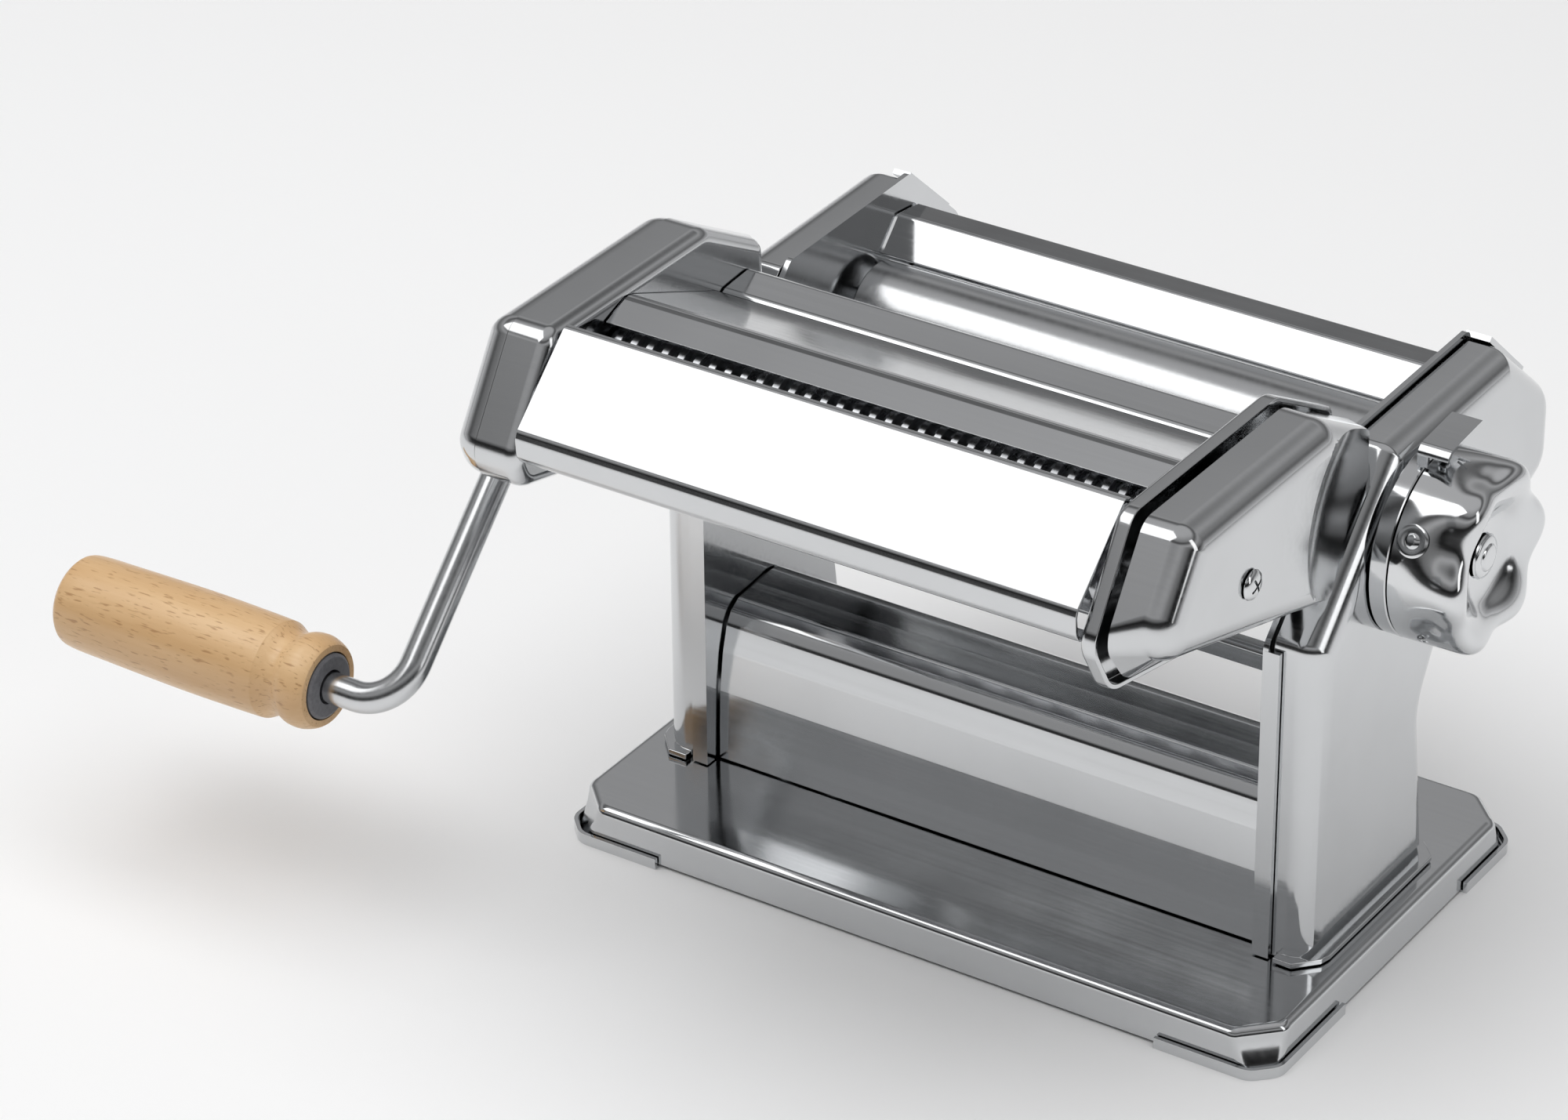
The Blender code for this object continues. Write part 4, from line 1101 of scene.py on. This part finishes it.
crank = {
    "rod": 3.9, "sides": 40, "bend": 12.0, "bendSteps": 18, "armX": -112.0, "socketX": -86.2, "tipX": -202.0,
    "chamfer": 0.8, "chamferShare": 0.82, "gripAxis": (-113.1, 48.0),
}
grip = {
    "bore": 5.2, "mouth": 8.7, "mouthFloor": -146.0,
    "outside": [
        (-132.4, 10.3), (-133.6, 11.1), (-136.2, 11.9), (-138.8, 11.8), (-140.6, 11.2), (-142.2, 10.6),
        (-144.2, 10.9), (-146.6, 12.1), (-148.2, 12.4), (-158.0, 12.6), (-170.0, 12.7), (-183.0, 12.55),
        (-195.0, 12.3), (-206.0, 12.0), (-209.0, 10.9), (-210.4, 7.8), (-210.7, 3.0), (-210.7, 0.0),
    ],
    "bush": [(-131.6, 4.4), (-131.6, 7.4), (-131.75, 7.8), (-132.2, 8.3), (-145.6, 8.3), (-145.6, 4.4)],
}


def crankRod():
    socket = Vector((crank["socketX"], *wideAxes[0]))
    upper = Vector((crank["armX"], *wideAxes[0]))
    lower = Vector((crank["armX"], *crank["gripAxis"]))
    tip = Vector((crank["tipX"], *crank["gripAxis"]))
    points = [socket]
    for corner, before, after in ((upper, socket, lower), (lower, upper, tip)):
        back = (before - corner).normalized() * crank["bend"]
        ahead = (after - corner).normalized() * crank["bend"]
        for k in range(crank["bendSteps"] + 1):
            angle = math.pi / 2.0 * k / crank["bendSteps"]
            points.append(corner + back * (1.0 - math.sin(angle)) + ahead * (1.0 - math.cos(angle)))
    points.append(tip)
    # the rod bends in one plane, so that plane's normal serves every ring
    across = (upper - lower).cross(Vector((1.0, 0.0, 0.0))).normalized()
    turns = [math.tau * k / crank["sides"] for k in range(crank["sides"])]
    rings = []
    for i, point in enumerate(points):
        ahead = (points[min(i + 1, len(points) - 1)] - points[max(i - 1, 0)]).normalized()
        other = ahead.cross(across).normalized()
        rings.append([point + (across * math.cos(t) + other * math.sin(t)) * crank["rod"] for t in turns])
    end = [points[0] + (place - points[0]) * crank["chamferShare"] for place in rings[0]]
    rings[0] = [place - Vector((crank["chamfer"], 0.0, 0.0)) for place in rings[0]]
    piece = pieceFrom("crankRod", skinned([end] + rings))
    fit(piece, turnedSteel, "crank", ["crank_rod"], edge=0)


def turnedGrip():
    bore, mouth, floor = grip["bore"], grip["mouth"], grip["mouthFloor"]
    profile = [(-208.0, 0.0), (-208.0, bore), (floor, bore), (floor, mouth), (-132.4, mouth)]
    profile += smoothProfile(grip["outside"], 5)
    piece = pieceFrom("beechGrip", turned(profile, crank["gripAxis"], 96))
    fit(piece, oiledBeech, "crank_grip", ["wooden_grip"], sharp=60.0, edge=0)
    piece = pieceFrom("gripBush", turned(grip["bush"], crank["gripAxis"], 64, True))
    fit(piece, bushGrey, "crank_grip", ["grip_bush"], edge=0)


crankRod()
turnedGrip()
print("crank and grip made")


# inner pieces stay as they come, in their own finish

innerLooks = {
    "rear_roller_gear": darkSteel, "front_roller_gear": darkSteel,
    "fine_cutter_front_gear": darkSteel, "fine_cutter_rear_gear": darkSteel,
    "wide_cutter_front_gear": darkSteel, "wide_cutter_rear_gear": darkSteel,
    "roller_bearing_left": darkSteel, "roller_bearing_right": darkSteel,
    "eccentric_shaft": turnedSteel, "detent_pin": turnedSteel,
}
for node, look in innerLooks.items():
    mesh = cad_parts[node].data
    mesh.materials.clear()
    mesh.materials.append(look)
print("inner pieces finished")
